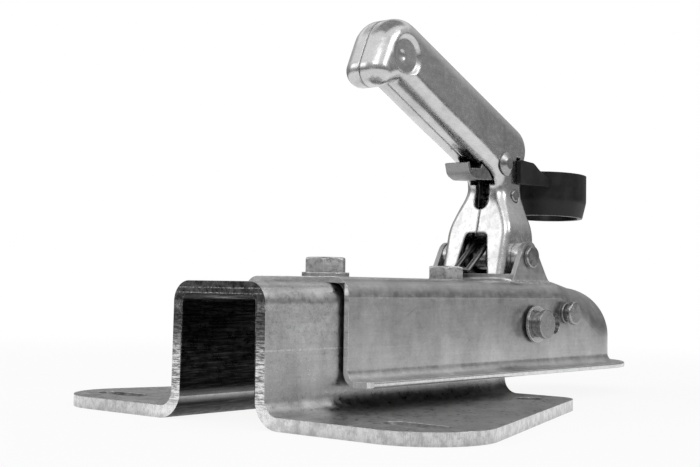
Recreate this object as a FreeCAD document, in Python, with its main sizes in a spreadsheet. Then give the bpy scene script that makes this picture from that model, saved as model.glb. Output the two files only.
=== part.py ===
"""Trailer coupling head: a pressed ball coupling bolted on a hat-section bracket for a V drawbar.

Frame: millimetres, X forward to the ball, Z up, the near side is -Y. The origin is the middle of the
rear pair of foot slots, on the underside of the feet. The handle is drawn raised, with the jaw open.
"""
import FreeCAD, Part
import math
import os

import Sketcher
from FreeCAD import Placement, Rotation, Vector

UP = Vector(0, 0, 1)

# name, value, what it is
SIZES = [
    ("plate", 6.0, "bracket plate thickness"),
    ("hat_gap", 2.0, "bracket wall at the top to the inside of the body's wall"),
    ("hat_height", 65.6, "bracket height from the feet's underside"),
    ("hat_lean", 0.7, "outward lean of each bracket wall from top to foot"),
    ("hat_corner", 10.0, "outer radius of the bracket's top corners"),
    ("foot_bend", 8.0, "radius between bracket wall and foot, on top"),
    ("bracket_length", 193.0, "bracket length along the drawbar"),
    ("slot_inset", 25.0, "rear edge of the bracket to the slot centres"),
    ("foot_rear", 139.0, "half span of the feet at the rear edge, before rounding"),
    ("foot_front", 76.5, "half span of the feet at the front edge, before rounding"),
    ("foot_rear_round", 33.0, "radius of the rear foot corners"),
    ("foot_front_round", 15.0, "radius of the front foot corners"),
    ("slot_span", 192.0, "rear slots, centre to centre"),
    ("slot_long", 33.0, "rear slot, end to end"),
    ("slot_wide", 13.0, "rear slot width"),
    ("hole_inset", 23.5, "front edge of the bracket to the front foot holes"),
    ("hole_span", 122.0, "front foot holes, centre to centre"),
    ("foot_hole", 14.0, "front foot hole diameter"),
    ("sheet", 3.0, "coupling body sheet thickness"),
    ("body_half", 35.0, "coupling body outer half width"),
    ("body_rear", 26.5, "rear edge of the coupling body"),
    ("body_corner", 9.5, "outer radius of the body's top corners"),
    ("blend_ahead", 27.8, "handle pivot to where the body's top starts to fall to the nose"),
    ("ball_ahead", 75.5, "handle pivot to the ball centre and nose centre"),
    ("ball_under", 31.6, "top of the bracket down to the ball centre"),
    ("ball_dia", 50.0, "coupling ball diameter"),
    ("nose_under", 0.4, "top of the bracket down to the top of the nose"),
    ("nose_round", 30.0, "outer rounding of the nose"),
    ("lip_under", 49.5, "top of the bracket down to the underside of the lip"),
    ("lip_wide", 10.5, "lip past the body's wall, all round the nose"),
    ("lip_bend", 5.0, "radius between body wall and lip"),
    ("lip_edge", 0.9, "rounding of the lip's edge"),
    ("lip_clip", 7.0, "clip across the lip's rear corners"),
    ("lip_tall", 11.9, "height of the bent lip section"),
    ("mouth_behind", 25.2, "handle pivot back to the rear end of the top opening"),
    ("mouth_ahead", 25.8, "handle pivot to the front end of the top opening"),
    ("shoulder", 8.0, "outside of the body's wall to the side of the top opening"),
    ("mouth_round", 14.0, "corner radius of the top opening"),
    ("rim_rise", 3.8, "height of the opening's turned-up rim"),
    ("rim_end", 12.0, "front end of the rim, ahead of the pivot"),
    ("rim_root", 2.2, "radius at the root of the rim"),
    ("pivot_ahead", 1.2, "front edge of the bracket to the handle pivot"),
    ("pivot_over", 16.9, "top of the bracket up to the handle pivot"),
    ("pivot_pin", 10.0, "handle pivot pin diameter"),
    ("pivot_head", 13.0, "handle pivot pin head diameter"),
    ("pivot_head_thick", 2.5, "handle pivot pin head, outside the ear"),
    ("ear_rise", 9.0, "ear above the pivot centre"),
    ("ear_rear", 19.4, "foot of the ear behind the pivot"),
    ("ear_sink", 1.8, "the ear's front end under the top surface"),
    ("ear_front", 20.5, "foot of the ear ahead of the pivot"),
    ("slide_under", 21.6, "top of the bracket down to the slot pin"),
    ("slide_behind", 3.7, "handle pivot back to the slot pin, with the handle raised"),
    ("slide_run", 23.2, "travel of the slot pin"),
    ("slide_spare", 0.3, "slot past the pin's travel at each end"),
    ("slide_pin", 11.6, "slot pin diameter"),
    ("slide_slack", 0.4, "slot height over the pin diameter"),
    ("slide_neck", 14.4, "collar of the slot pin outside the wall"),
    ("slide_neck_gap", 0.6, "wall to the collar"),
    ("slide_neck_end", 7.0, "wall to the outer end of the collar"),
    ("slide_head", 16.6, "head of the slot pin"),
    ("slide_head_thick", 2.7, "thickness of that head"),
    ("slide_washer", 21.0, "loose washer on the slot pin"),
    ("slide_washer_thick", 1.6, "thickness of that washer"),
    ("slide_washer_gap", 1.6, "wall to the washer where it hangs"),
    ("jaw_ahead", 33.0, "handle pivot to the jaw rivet"),
    ("jaw_under", 15.6, "top of the bracket down to the jaw rivet"),
    ("jaw_pin", 10.0, "jaw rivet diameter"),
    ("jaw_flange", 12.6, "jaw rivet flange on the wall"),
    ("jaw_flange_thick", 1.4, "thickness of that flange"),
    ("jaw_neck", 8.0, "jaw rivet between flange and head"),
    ("jaw_neck_long", 2.8, "length of that neck"),
    ("jaw_head", 14.0, "jaw rivet head diameter"),
    ("jaw_head_thick", 2.7, "jaw rivet head thickness"),
    ("jaw_half", 14.5, "half width of the jaw"),
    ("jaw_swing", 12.0, "turn of the jaw from open to shut"),
    ("jaw_boss", 8.6, "radius of the jaw round its rivet"),
    ("jaw_lip", 14.0, "height of the jaw's tip under the ball centre, shut"),
    ("bolt_dia", 12.0, "drawbar bolt diameter"),
    ("bolt_flats", 19.0, "bolt head and nut across flats"),
    ("bolt_head", 7.5, "bolt head height"),
    ("bolt_nut", 10.8, "nut height"),
    ("bolt_rear", 49.0, "rear bolt along X"),
    ("bolt_inset", 40.0, "front edge of the bracket to the front bolt"),
    ("bolt_clear", 1.0, "bolt holes over the bolt diameter"),
    ("washer_wide", 24.0, "bolt washer diameter"),
    ("washer_thick", 2.2, "bolt washer thickness"),
    ("thread_end", 3.5, "bolt past the nut"),
    ("skin", 2.2, "handle sheet thickness"),
    ("grip_half", 13.5, "half width of the grip"),
    ("fork_gap", 5.0, "handle's legs to the inner faces of the ears"),
    ("grip_round", 9.0, "rounding along the grip's sides"),
    ("leg_round", 4.0, "rounding along the legs"),
    ("waist_top", 36.0, "above the pivot, where the grip starts to spread into the legs"),
    ("waist_low", 16.5, "above the pivot, where that spread ends"),
    ("waist_round", 25.0, "bend radius at both ends of the spread"),
    ("leg_foot", 11.0, "the legs' lower edge below the pivot"),
    ("seam", 0.25, "half the gap between the handle halves"),
    ("arm_half", 9.0, "half width of the handle's lower arms"),
    ("arm_slack", 0.8, "side play of the slot pin in the lower arms"),
    ("arm_thin", 0.1, "the lower arms' sheet is thinner than the legs' by this"),
    ("arm_play", 0.4, "end play of the slot pin in the lower arms"),
    ("window_top", 14.3, "top of the window between the legs, above the pivot"),
    ("window_half", 7.5, "half width of the window at its top"),
    ("window_flare", 0.178, "half width that the window gains per millimetre down"),
    ("window_corner", 3.0, "corner radius of the window"),
    ("split_half", 5.0, "half width of the split above the window"),
    ("split_low", 28.2, "lower end of the split above the pivot"),
    ("catch_gap_low", 43.0, "lower end of the catch's gap above the pivot"),
    ("catch_gap_tall", 18.0, "height of the catch's gap"),
    ("catch_gap_long", 20.0, "reach of the catch's gap behind the pivot"),
    ("catch_x", -0.9, "trigger pin from the pivot along X"),
    ("catch_z", 55.0, "trigger pin above the pivot"),
    ("catch_pin", 6.0, "trigger pin diameter"),
    ("catch_head", 14.0, "trigger pin head diameter"),
    ("catch_head_thick", 2.8, "trigger pin head thickness"),
    ("catch_half", 8.0, "half width of the trigger"),
    ("catch_sheet", 2.0, "trigger sheet thickness"),
    ("stay_x", 8.0, "stay rivet from the pivot along X"),
    ("stay_z", 36.8, "stay rivet above the pivot"),
    ("stay_pin", 4.0, "stay rivet diameter"),
    ("stay_head", 7.4, "stay rivet head diameter"),
    ("stay_head_thick", 1.5, "stay rivet head thickness"),
    ("coil_wire", 3.4, "handle spring wire"),
    ("coil_mean", 20.0, "handle spring mean coil diameter"),
    ("coil_turns", 2.0, "whole turns in each coil of the handle spring"),
    ("bail_gap", 4.6, "bail wires to the centre plane"),
    ("bush_wide", 15.0, "outer diameter of the pivot bush"),
    ("catch_wire", 1.4, "trigger spring wire"),
    ("catch_coil", 9.0, "trigger spring mean coil diameter"),
    ("ring_ahead", 65.3, "handle pivot to the plug ring centre"),
    ("ring_out", 26.0, "plug ring outer radius"),
    ("ring_wall", 3.0, "plug ring wall"),
    ("ring_low", 26.8, "handle pivot up to the plug ring's underside"),
    ("ring_high", 54.5, "handle pivot up to the plug ring's top"),
    ("ring_mid", 36.5, "handle pivot up to where the plug ring starts to narrow"),
    ("ring_narrow", 2.8, "narrowing of the plug ring at the bottom"),
    ("ring_drop", 1.7, "fall of the plug ring's rims from rear to front"),
    ("prong_x", 12.4, "plug ring prongs from the pivot along X"),
    ("prong_wide", 4.6, "width of the prong slots"),
    ("prong_low", 44.5, "lower end of the prong slots above the pivot"),
    ("prong_tall", 15.5, "height of the prong slots"),
    ("prong_slack", 0.4, "prong to the edges of its slot"),
    ("rib_deep", 0.6, "plug ring ribs proud of the inner wall"),
    ("rib_pitch", 9.0, "plug ring ribs, one to the next round the inner wall"),
    ("ball_play", 0.2, "ball seat over the ball, on the radius"),
    ("cup_wall", 2.8, "ball cup sheet thickness"),
    ("cup_wrap", 9.9, "ball cup below the ball centre, in front"),
    ("fit", 0.1, "running clearance round pins, on the radius"),
]


class Size:
    """A number together with the sheet formula that gives it."""

    def __init__(self, value, text):
        self.value = float(value)
        self.text = text

    def __add__(self, other):
        other = as_size(other)
        return Size(self.value + other.value, f"({self.text} + {other.text})")

    def __sub__(self, other):
        other = as_size(other)
        return Size(self.value - other.value, f"({self.text} - {other.text})")

    def __mul__(self, other):
        other = as_size(other)
        return Size(self.value * other.value, f"({self.text} * {other.text})")

    def __truediv__(self, other):
        other = as_size(other)
        return Size(self.value / other.value, f"({self.text} / {other.text})")

    def __radd__(self, other):
        return as_size(other) + self

    def __rsub__(self, other):
        return as_size(other) - self

    def __rmul__(self, other):
        return as_size(other) * self

    def __neg__(self):
        return Size(-self.value, f"(0 - {self.text})")


def as_size(value):
    """A plain number as a size with no cell behind it."""
    return value if isinstance(value, Size) else Size(value, f"({float(value)!r})")


def sine(angle):
    angle = as_size(angle)
    return Size(math.sin(math.radians(angle.value)), f"sin({angle.text})")


def root(size):
    return Size(math.sqrt(size.value), f"sqrt({size.text})")


def cosine(angle):
    angle = as_size(angle)
    return Size(math.cos(math.radians(angle.value)), f"cos({angle.text})")


def bind(thing, path, size):
    """Ties one property to its formula."""
    thing.setExpression(path, as_size(size).text)


doc = FreeCAD.newDocument("Coupling_head")
sheet = doc.addObject("Spreadsheet::Sheet", "Sizes")


def write_sheet():
    """Fills the sheet and returns its cells as sizes, by name."""
    cells = {}
    for row, (name, value, meaning) in enumerate(SIZES, start=1):
        sheet.set(f"A{row}", meaning)
        sheet.set(f"B{row}", f"{value}")
        sheet.setAlias(f"B{row}", name)
        cells[name] = Size(value, f"Sizes.{name}")
    doc.recompute()
    return cells


S = write_sheet()
# Widths that follow the body's, from the outside in.
S["lip_reach"] = S["body_half"] + S["lip_wide"]
S["hat_width"] = (S["body_half"] - S["sheet"] - S["hat_gap"]) * 2
S["mouth_half"] = S["body_half"] - S["shoulder"]
S["fork_half"] = S["mouth_half"] - S["fork_gap"]
# Places along X: the head's works stand ahead of the bracket, measured from the handle pivot.
S["pivot_x"] = S["bracket_length"] + S["pivot_ahead"]
for place in ("blend", "ball", "jaw", "ring"):
    S[f"{place}_x"] = S["pivot_x"] + S[f"{place}_ahead"]
S["mouth_rear"] = S["pivot_x"] - S["mouth_behind"]
S["mouth_front"] = S["pivot_x"] + S["mouth_ahead"]
S["slide_rear"] = S["pivot_x"] - S["slide_behind"]
S["bolt_front"] = S["bracket_length"] - S["bolt_inset"]
S["hole_pitch"] = S["bracket_length"] - S["slot_inset"] - S["hole_inset"]
# Heights follow the top of the bracket, and the plug ring's the handle pivot.
for place in ("ball", "jaw", "slide"):
    S[f"{place}_z"] = S["hat_height"] - S[f"{place}_under"]
S["nose_top"] = S["hat_height"] - S["nose_under"]
S["lip_bottom"] = S["hat_height"] - S["lip_under"]
S["lip_join"] = S["lip_bottom"] + S["lip_tall"]
S["pivot_z"] = S["hat_height"] + S["pivot_over"]
S["ring_bottom"] = S["pivot_z"] + S["ring_low"]
S["ring_waist"] = S["pivot_z"] + S["ring_mid"]
S["ring_top"] = S["pivot_z"] + S["ring_high"]


def origin_plane(body, role):
    return next(item for item in body.Origin.OriginFeatures if item.Role == role)


def new_body(label):
    body = doc.addObject("PartDesign::Body", label)
    body.Label = label
    return body


def new_sketch(body, name, role, lift=0.0, shift=None):
    """A sketch on one of the body's own planes, lifted off it, with its own origin moved by shift."""
    sketch = body.newObject("Sketcher::SketchObject", name)
    sketch.AttachmentSupport = (origin_plane(body, role), "")
    sketch.MapMode = "FlatFace"
    lift = as_size(lift)
    across, along = (as_size(part) for part in (shift or (0.0, 0.0)))
    sketch.AttachmentOffset = Placement(Vector(across.value, along.value, lift.value), Rotation())
    for axis, size in zip("xyz", (across, along, lift)):
        bind(sketch, f"AttachmentOffset.Base.{axis}", size)
    return sketch


def fix(sketch, kind, *where, size=None):
    """Adds a constraint, and ties it to its size where it has one."""
    if size is None:
        return sketch.addConstraint(Sketcher.Constraint(kind, *where))
    index = sketch.addConstraint(Sketcher.Constraint(kind, *where, as_size(size).value))
    bind(sketch, f"Constraints[{index}]", size)
    return index


def fix_point(sketch, geometry, place, x, y):
    fix(sketch, "DistanceX", -1, 1, geometry, place, size=x)
    fix(sketch, "DistanceY", -1, 1, geometry, place, size=y)


def outline(sketch, corners):
    """A closed outline through corners (x, y, radius), where a radius of 0 leaves the corner sharp."""
    corners = [tuple(as_size(part) for part in corner) for corner in corners]
    count = len(corners)
    points = [Vector(x.value, y.value, 0) for x, y, _ in corners]
    starts, ends, arcs = [], [], []
    for i, (x, y, radius) in enumerate(corners):
        back = (points[i - 1] - points[i]).normalize()
        ahead = (points[(i + 1) % count] - points[i]).normalize()
        if radius.value == 0:
            ends.append(points[i])
            starts.append(points[i])
            arcs.append(None)
            continue
        half = back.getAngle(ahead) / 2
        reach = radius.value / math.tan(half)
        centre = points[i] + (back + ahead).normalize() * (radius.value / math.sin(half))
        ends.append(points[i] + back * reach)
        starts.append(points[i] + ahead * reach)
        arcs.append((centre, back.cross(ahead).z < 0))
    lines = []
    for i in range(count):
        lines.append(sketch.addGeometry(Part.LineSegment(starts[i], ends[(i + 1) % count]), False))
    for i, (x, y, radius) in enumerate(corners):
        before, after = lines[i - 1], lines[i]
        if arcs[i] is None:
            fix(sketch, "Coincident", before, 2, after, 1)
            fix_point(sketch, after, 1, x, y)
            continue
        centre, left = arcs[i]
        first, last = (ends[i], starts[i]) if left else (starts[i], ends[i])
        turn = [math.atan2(p.y - centre.y, p.x - centre.x) for p in (first, last)]
        circle = Part.Circle(centre, UP, radius.value)
        arc = sketch.addGeometry(Part.ArcOfCircle(circle, turn[0], turn[1]), False)
        mark = sketch.addGeometry(Part.Point(points[i]), True)
        fix_point(sketch, mark, 1, x, y)
        fix(sketch, "PointOnObject", mark, 1, before)
        fix(sketch, "PointOnObject", mark, 1, after)
        fix(sketch, "Tangent", before, 2, arc, 1 if left else 2)
        fix(sketch, "Tangent", after, 1, arc, 2 if left else 1)
        fix(sketch, "Radius", arc, size=radius)


def slot_outline(sketch, first, last, radius):
    """A slot between two centres, with round ends."""
    radius = as_size(radius)
    ends = [tuple(as_size(part) for part in end) for end in (first, last)]
    centres = [Vector(x.value, y.value, 0) for x, y in ends]
    along = (centres[1] - centres[0]).normalize()
    side = Vector(-along.y, along.x, 0) * radius.value
    aim = math.atan2(along.y, along.x)
    arcs = []
    for centre, (x, y), start in zip(centres, ends, (aim + math.pi / 2, aim - math.pi / 2)):
        circle = Part.Circle(centre, UP, radius.value)
        arcs.append(sketch.addGeometry(Part.ArcOfCircle(circle, start, start + math.pi), False))
        fix_point(sketch, arcs[-1], 3, x, y)
        fix(sketch, "Radius", arcs[-1], size=radius)
    low = sketch.addGeometry(Part.LineSegment(centres[0] - side, centres[1] - side), False)
    high = sketch.addGeometry(Part.LineSegment(centres[1] + side, centres[0] + side), False)
    fix(sketch, "Tangent", arcs[0], 2, low, 1)
    fix(sketch, "Tangent", low, 2, arcs[1], 1)
    fix(sketch, "Tangent", arcs[1], 2, high, 1)
    fix(sketch, "Tangent", high, 2, arcs[0], 1)


def circles(sketch, spots):
    """Circles (x, y, diameter)."""
    for x, y, across in spots:
        x, y, across = as_size(x), as_size(y), as_size(across)
        circle = Part.Circle(Vector(x.value, y.value, 0), UP, across.value / 2)
        index = sketch.addGeometry(circle, False)
        fix_point(sketch, index, 3, x, y)
        fix(sketch, "Diameter", index, size=across)


def pad(body, name, sketch, length, back=False, both=False):
    feature = body.newObject("PartDesign::Pad", name)
    feature.Profile = sketch
    feature.Length = as_size(length).value
    feature.Reversed = back
    feature.Midplane = both
    bind(feature, "Length", length)
    sketch.Visibility = False
    return feature


def pocket(body, name, sketch, length=None, back=False, both=False):
    """A pocket of one length, or right through where there is none."""
    feature = body.newObject("PartDesign::Pocket", name)
    feature.Profile = sketch
    feature.Reversed = back
    feature.Midplane = both
    if length is None:
        feature.Type = 1
    else:
        feature.Length = as_size(length).value
        bind(feature, "Length", length)
    return feature


def spin(body, name, sketch, angle=360.0, cut=False, both=False):
    """Turns a sketch about its own upright axis."""
    feature = body.newObject("PartDesign::Groove" if cut else "PartDesign::Revolution", name)
    feature.Profile = sketch
    feature.ReferenceAxis = (sketch, ["V_Axis"])
    feature.Angle = angle
    feature.Midplane = both
    return feature


def round_edges(body, name, radius, keep):
    """Rounds the tip's edges that keep picks by their middle point, direction and box."""
    doc.recompute()
    tip = body.Tip
    names = []
    for number, edge in enumerate(tip.Shape.Edges, start=1):
        middle = edge.valueAt((edge.FirstParameter + edge.LastParameter) / 2)
        if keep(edge, middle):
            names.append(f"Edge{number}")
    if not names:
        raise RuntimeError(f"{name}: no edge to round")
    feature = body.newObject("PartDesign::Fillet", name)
    feature.Base = (tip, names)
    feature.Radius = as_size(radius).value
    bind(feature, "Radius", radius)
    doc.recompute()
    return feature


def solid(kind, label, at=(0.0, 0.0, 0.0), turn=None, **sizes):
    """A primitive with bound sizes and place; turn is its Rotation."""
    item = doc.addObject(f"Part::{kind}", label)
    item.Label = label
    item.Placement = Placement(Vector(*(as_size(part).value for part in at)), turn or Rotation())
    for axis, size in zip("xyz", at):
        bind(item, f"Placement.Base.{axis}", size)
    for name, size in sizes.items():
        setattr(item, name, as_size(size).value)
        bind(item, name, size)
    return item


def join(label, *parts):
    item = doc.addObject("Part::MultiFuse", label)
    item.Label = label
    item.Shapes = list(parts)
    item.Refine = True
    return item


def weld(label, base, tool):
    """Two pieces of one sheet, joined with their seams left in."""
    item = doc.addObject("Part::Fuse", label)
    item.Label = label
    item.Base = base
    item.Tool = tool
    return item


def cut(label, base, tool):
    item = doc.addObject("Part::Cut", label)
    item.Label = label
    item.Base = base
    item.Tool = tool
    return item


def common(label, *parts):
    item = doc.addObject("Part::MultiCommon", label)
    item.Label = label
    item.Shapes = list(parts)
    return item


def mirrored(label, source):
    """The same piece on the far side."""
    item = doc.addObject("Part::Mirroring", label)
    item.Label = label
    item.Source = source
    item.Normal = Vector(0, 1, 0)
    return item


TO_NEAR = Rotation(Vector(1, 0, 0), 90)


def cross_rod(label, x, z, y_far, length, across):
    """A round rod that starts at y_far and runs toward the near side."""
    return solid("Cylinder", label, at=(x, y_far, z), turn=TO_NEAR, Radius=across / 2, Height=length)


def make_bracket():
    """Hat section bent from one plate, its feet trimmed to a taper, with slots and holes."""
    body = new_body("mounting_bracket")
    half, t = S["hat_width"] / 2, S["plate"]
    foot, lean, high = S["foot_rear"] + 5, S["hat_lean"], S["hat_height"]
    section = new_sketch(body, "Bracket_section", "YZ_Plane", lift=-S["slot_inset"])
    outline(section, [
        (foot, 0.0, 0.0), (foot, t, 0.0),
        (half + lean, t, S["foot_bend"]), (half, high, S["hat_corner"]),
        (-half, high, S["hat_corner"]), (-(half + lean), t, S["foot_bend"]),
        (-foot, t, 0.0), (-foot, 0.0, 0.0),
        (-(half + lean - t), 0.0, S["foot_bend"] + t), (-(half - t), high - t, S["hat_corner"] - t),
        (half - t, high - t, S["hat_corner"] - t), (half + lean - t, 0.0, S["foot_bend"] + t),
    ])
    pad(body, "Bracket_hat", section, S["bracket_length"])
    rear = -S["slot_inset"]
    front = rear + S["bracket_length"]
    plan = new_sketch(body, "Feet_plan", "XY_Plane")
    spare = 20.0
    outline(plan, [
        (rear - spare, -(foot + spare), 0.0), (front + spare, -(foot + spare), 0.0),
        (front + spare, foot + spare, 0.0), (rear - spare, foot + spare, 0.0),
    ])
    outline(plan, [
        (rear, -S["foot_rear"], S["foot_rear_round"]), (front, -S["foot_front"], S["foot_front_round"]),
        (front, S["foot_front"], S["foot_front_round"]), (rear, S["foot_rear"], S["foot_rear_round"]),
    ])
    pocket(body, "Feet_trim", plan, high * 3, both=True)
    holes = new_sketch(body, "Feet_holes", "XY_Plane")
    reach = (S["slot_long"] - S["slot_wide"]) / 2
    for sign in (-1, 1):
        middle = sign * S["slot_span"] / 2
        slot_outline(holes, (0.0, middle - reach), (0.0, middle + reach), S["slot_wide"] / 2)
    circles(holes, [(S["hole_pitch"], sign * S["hole_span"] / 2, S["foot_hole"]) for sign in (-1, 1)])
    bolt_hole = S["bolt_dia"] + S["bolt_clear"]
    circles(holes, [(x, 0.0, bolt_hole) for x in (S["bolt_rear"], S["bolt_front"])])
    pocket(body, "Feet_openings", holes, high * 3, both=True)
    return body


def body_form(body, name, inset, hollow):
    """The body's outer form, or with an inset its hollow: channel, falling top and round nose."""
    half = S["body_half"] - inset
    top = S["hat_height"] + S["sheet"] - inset
    nose_top = S["nose_top"] - inset
    base = S["lip_join"]
    rear, start, nose = S["body_rear"], S["blend_x"], S["ball_x"]

    def section(label, at, height, radius):
        sketch = new_sketch(body, f"{name}_{label}", "YZ_Plane", lift=at)
        outline(sketch, [
            (half, base, 0.0), (half, height, radius), (-half, height, radius), (-half, base, 0.0),
        ])
        return sketch

    channel = section("channel", rear, top, S["body_corner"] - inset)
    first = section("first", start, top, S["body_corner"] - inset)
    last = section("last", nose, nose_top, S["nose_round"] - inset)
    if hollow:
        pocket(body, f"{name}_straight", channel, start - rear, back=True)
    else:
        pad(body, f"{name}_straight", channel, start - rear)
    doc.recompute()
    kind = "PartDesign::SubtractiveLoft" if hollow else "PartDesign::AdditiveLoft"
    fall = body.newObject(kind, f"{name}_fall")
    fall.Profile = first
    fall.Sections = [last]
    fall.Ruled = True
    doc.recompute()
    dome = new_sketch(body, f"{name}_dome", "XZ_Plane", shift=(nose, 0.0))
    outline(dome, [
        (0.0, base, 0.0), (half, base, 0.0), (half, nose_top, S["nose_round"] - inset), (0.0, nose_top, 0.0),
    ])
    spin(body, f"{name}_nose", dome, 180.0, cut=hollow, both=True)
    doc.recompute()


def make_coupling_body():
    """One pressed sheet: channel and nose, turned-out lip, rimmed opening, two ears, pin slots."""
    body = new_body("coupling_body")
    body_form(body, "Outside", as_size(0.0), False)
    body_form(body, "Inside", S["sheet"], True)
    half, t, low = S["body_half"], S["sheet"], S["lip_bottom"]
    lip_section = [
        (half - t, S["lip_join"], 0.0), (half - t, low, S["lip_bend"] + t),
        (S["lip_reach"], low, S["lip_edge"]), (S["lip_reach"], low + t, S["lip_edge"]),
        (half, low + t, S["lip_bend"]), (half, S["lip_join"], 0.0),
    ]
    sides = new_sketch(body, "Lip_section", "YZ_Plane", lift=S["body_rear"])
    outline(sides, lip_section)
    outline(sides, [(-y, z, radius) for y, z, radius in lip_section])
    pad(body, "Lip_sides", sides, S["ball_x"] - S["body_rear"])
    doc.recompute()
    round_nose = new_sketch(body, "Lip_nose_section", "XZ_Plane", shift=(S["ball_x"], 0.0))
    outline(round_nose, lip_section)
    spin(body, "Lip_nose", round_nose, 180.0, both=True)
    doc.recompute()
    clip = new_sketch(body, "Lip_clips", "XY_Plane", lift=low - t)
    spare = 4.0
    for sign in (-1, 1):
        edge = sign * (S["lip_reach"] + spare)
        corner = sign * (S["lip_reach"] - S["lip_clip"])
        outline(clip, [
            (S["body_rear"] - spare, edge, 0.0), (S["body_rear"] + S["lip_clip"] + spare, edge, 0.0),
            (S["body_rear"], corner, 0.0), (S["body_rear"] - spare, corner, 0.0),
        ])
    pocket(body, "Lip_corner_cut", clip, t * 3, back=True)
    doc.recompute()

    top = S["hat_height"] + t
    rim_front = S["pivot_x"] + S["rim_end"]
    rim = new_sketch(body, "Rim_plan", "XY_Plane", lift=top - t)
    outline(rim, [
        (S["mouth_rear"] - t, -(S["mouth_half"] + t), S["mouth_round"] + t),
        (rim_front, -(S["mouth_half"] + t), 0.0), (rim_front, S["mouth_half"] + t, 0.0),
        (S["mouth_rear"] - t, S["mouth_half"] + t, S["mouth_round"] + t),
    ])
    pad(body, "Rim", rim, t + S["rim_rise"])
    doc.recompute()
    root_height = top.value

    def rim_root(edge, middle):
        flat = abs(edge.BoundBox.ZMax - root_height) < 0.01 and edge.BoundBox.ZLength < 0.01
        outside = middle.x < S["mouth_rear"].value - 2 * t.value / 3
        return flat and outside and middle.x > S["mouth_rear"].value - 2 * t.value

    round_edges(body, "Rim_root", S["rim_root"], rim_root)

    rise = S["ear_rise"]
    ear_top = S["pivot_z"] + rise
    ear_foot = S["pivot_x"] - S["ear_rear"]
    ear_tail = S["pivot_x"] + S["ear_front"] + rise
    root = top - t
    for sign, name in ((-1, "near"), (1, "far")):
        ear = new_sketch(body, f"Ear_{name}_outline", "XZ_Plane", lift=-sign * S["mouth_half"])
        outline(ear, [
            (ear_foot, root, 0.0), (S["pivot_x"] - rise * 0.58, ear_top, rise * 0.95),
            (S["pivot_x"] + rise * 0.4, ear_top, rise * 0.77),
            (S["pivot_x"] + S["ear_front"], top, rise), (ear_tail, top - S["ear_sink"], 0.0),
            (ear_tail, root, 0.0),
        ])
        pad(body, f"Ear_{name}", ear, t, back=sign > 0)
        doc.recompute()
    mouth = new_sketch(body, "Mouth_plan", "XY_Plane", lift=root - t)
    outline(mouth, [
        (S["mouth_rear"], -S["mouth_half"], S["mouth_round"]),
        (S["mouth_front"], -S["mouth_half"], S["mouth_round"]),
        (S["mouth_front"], S["mouth_half"], S["mouth_round"]),
        (S["mouth_rear"], S["mouth_half"], S["mouth_round"]),
    ])
    pocket(body, "Mouth", mouth, S["ear_rise"] * 4, back=True)
    doc.recompute()

    pins = new_sketch(body, "Side_openings", "XZ_Plane")
    slot_front = S["slide_rear"] + S["slide_run"] + S["slide_spare"]
    slot_outline(
        pins, (S["slide_rear"] - S["slide_spare"], S["slide_z"]), (slot_front, S["slide_z"]),
        (S["slide_pin"] + S["slide_slack"]) / 2)
    circles(pins, [
        (S["pivot_x"], S["pivot_z"], S["pivot_pin"] + S["fit"] * 2), (S["jaw_x"], S["jaw_z"], S["jaw_pin"]),
    ])
    pocket(body, "Side_holes", pins, half * 4, both=True)
    bolts = new_sketch(body, "Top_holes", "XY_Plane", lift=root)
    bolt_hole = S["bolt_dia"] + S["bolt_clear"]
    circles(bolts, [(x, 0.0, bolt_hole) for x in (S["bolt_rear"], S["bolt_front"])])
    pocket(body, "Bolt_holes", bolts, t * 4, both=True)
    doc.recompute()
    return body


def make_pin(label, x, z, profile):
    """A turned pin across the part: profile is (reach, radius, rounding) from the middle outward."""
    body = new_body(label)
    body.Placement.Base = Vector(x.value, 0, z.value)
    bind(body, "Placement.Base.x", x)
    bind(body, "Placement.Base.z", z)
    sketch = new_sketch(body, f"{label}_profile", "YZ_Plane")
    last = as_size(profile[-1][0])
    near = [(-as_size(reach), radius, rounding) for reach, radius, rounding in profile]
    outline(sketch, [(last, 0.0, 0.0)] + profile[::-1] + near + [(-last, 0.0, 0.0)])
    turned = body.newObject("PartDesign::Revolution", f"{label}_turned")
    turned.Profile = sketch
    turned.ReferenceAxis = (sketch, ["H_Axis"])
    turned.Angle = 360.0
    return body


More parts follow.
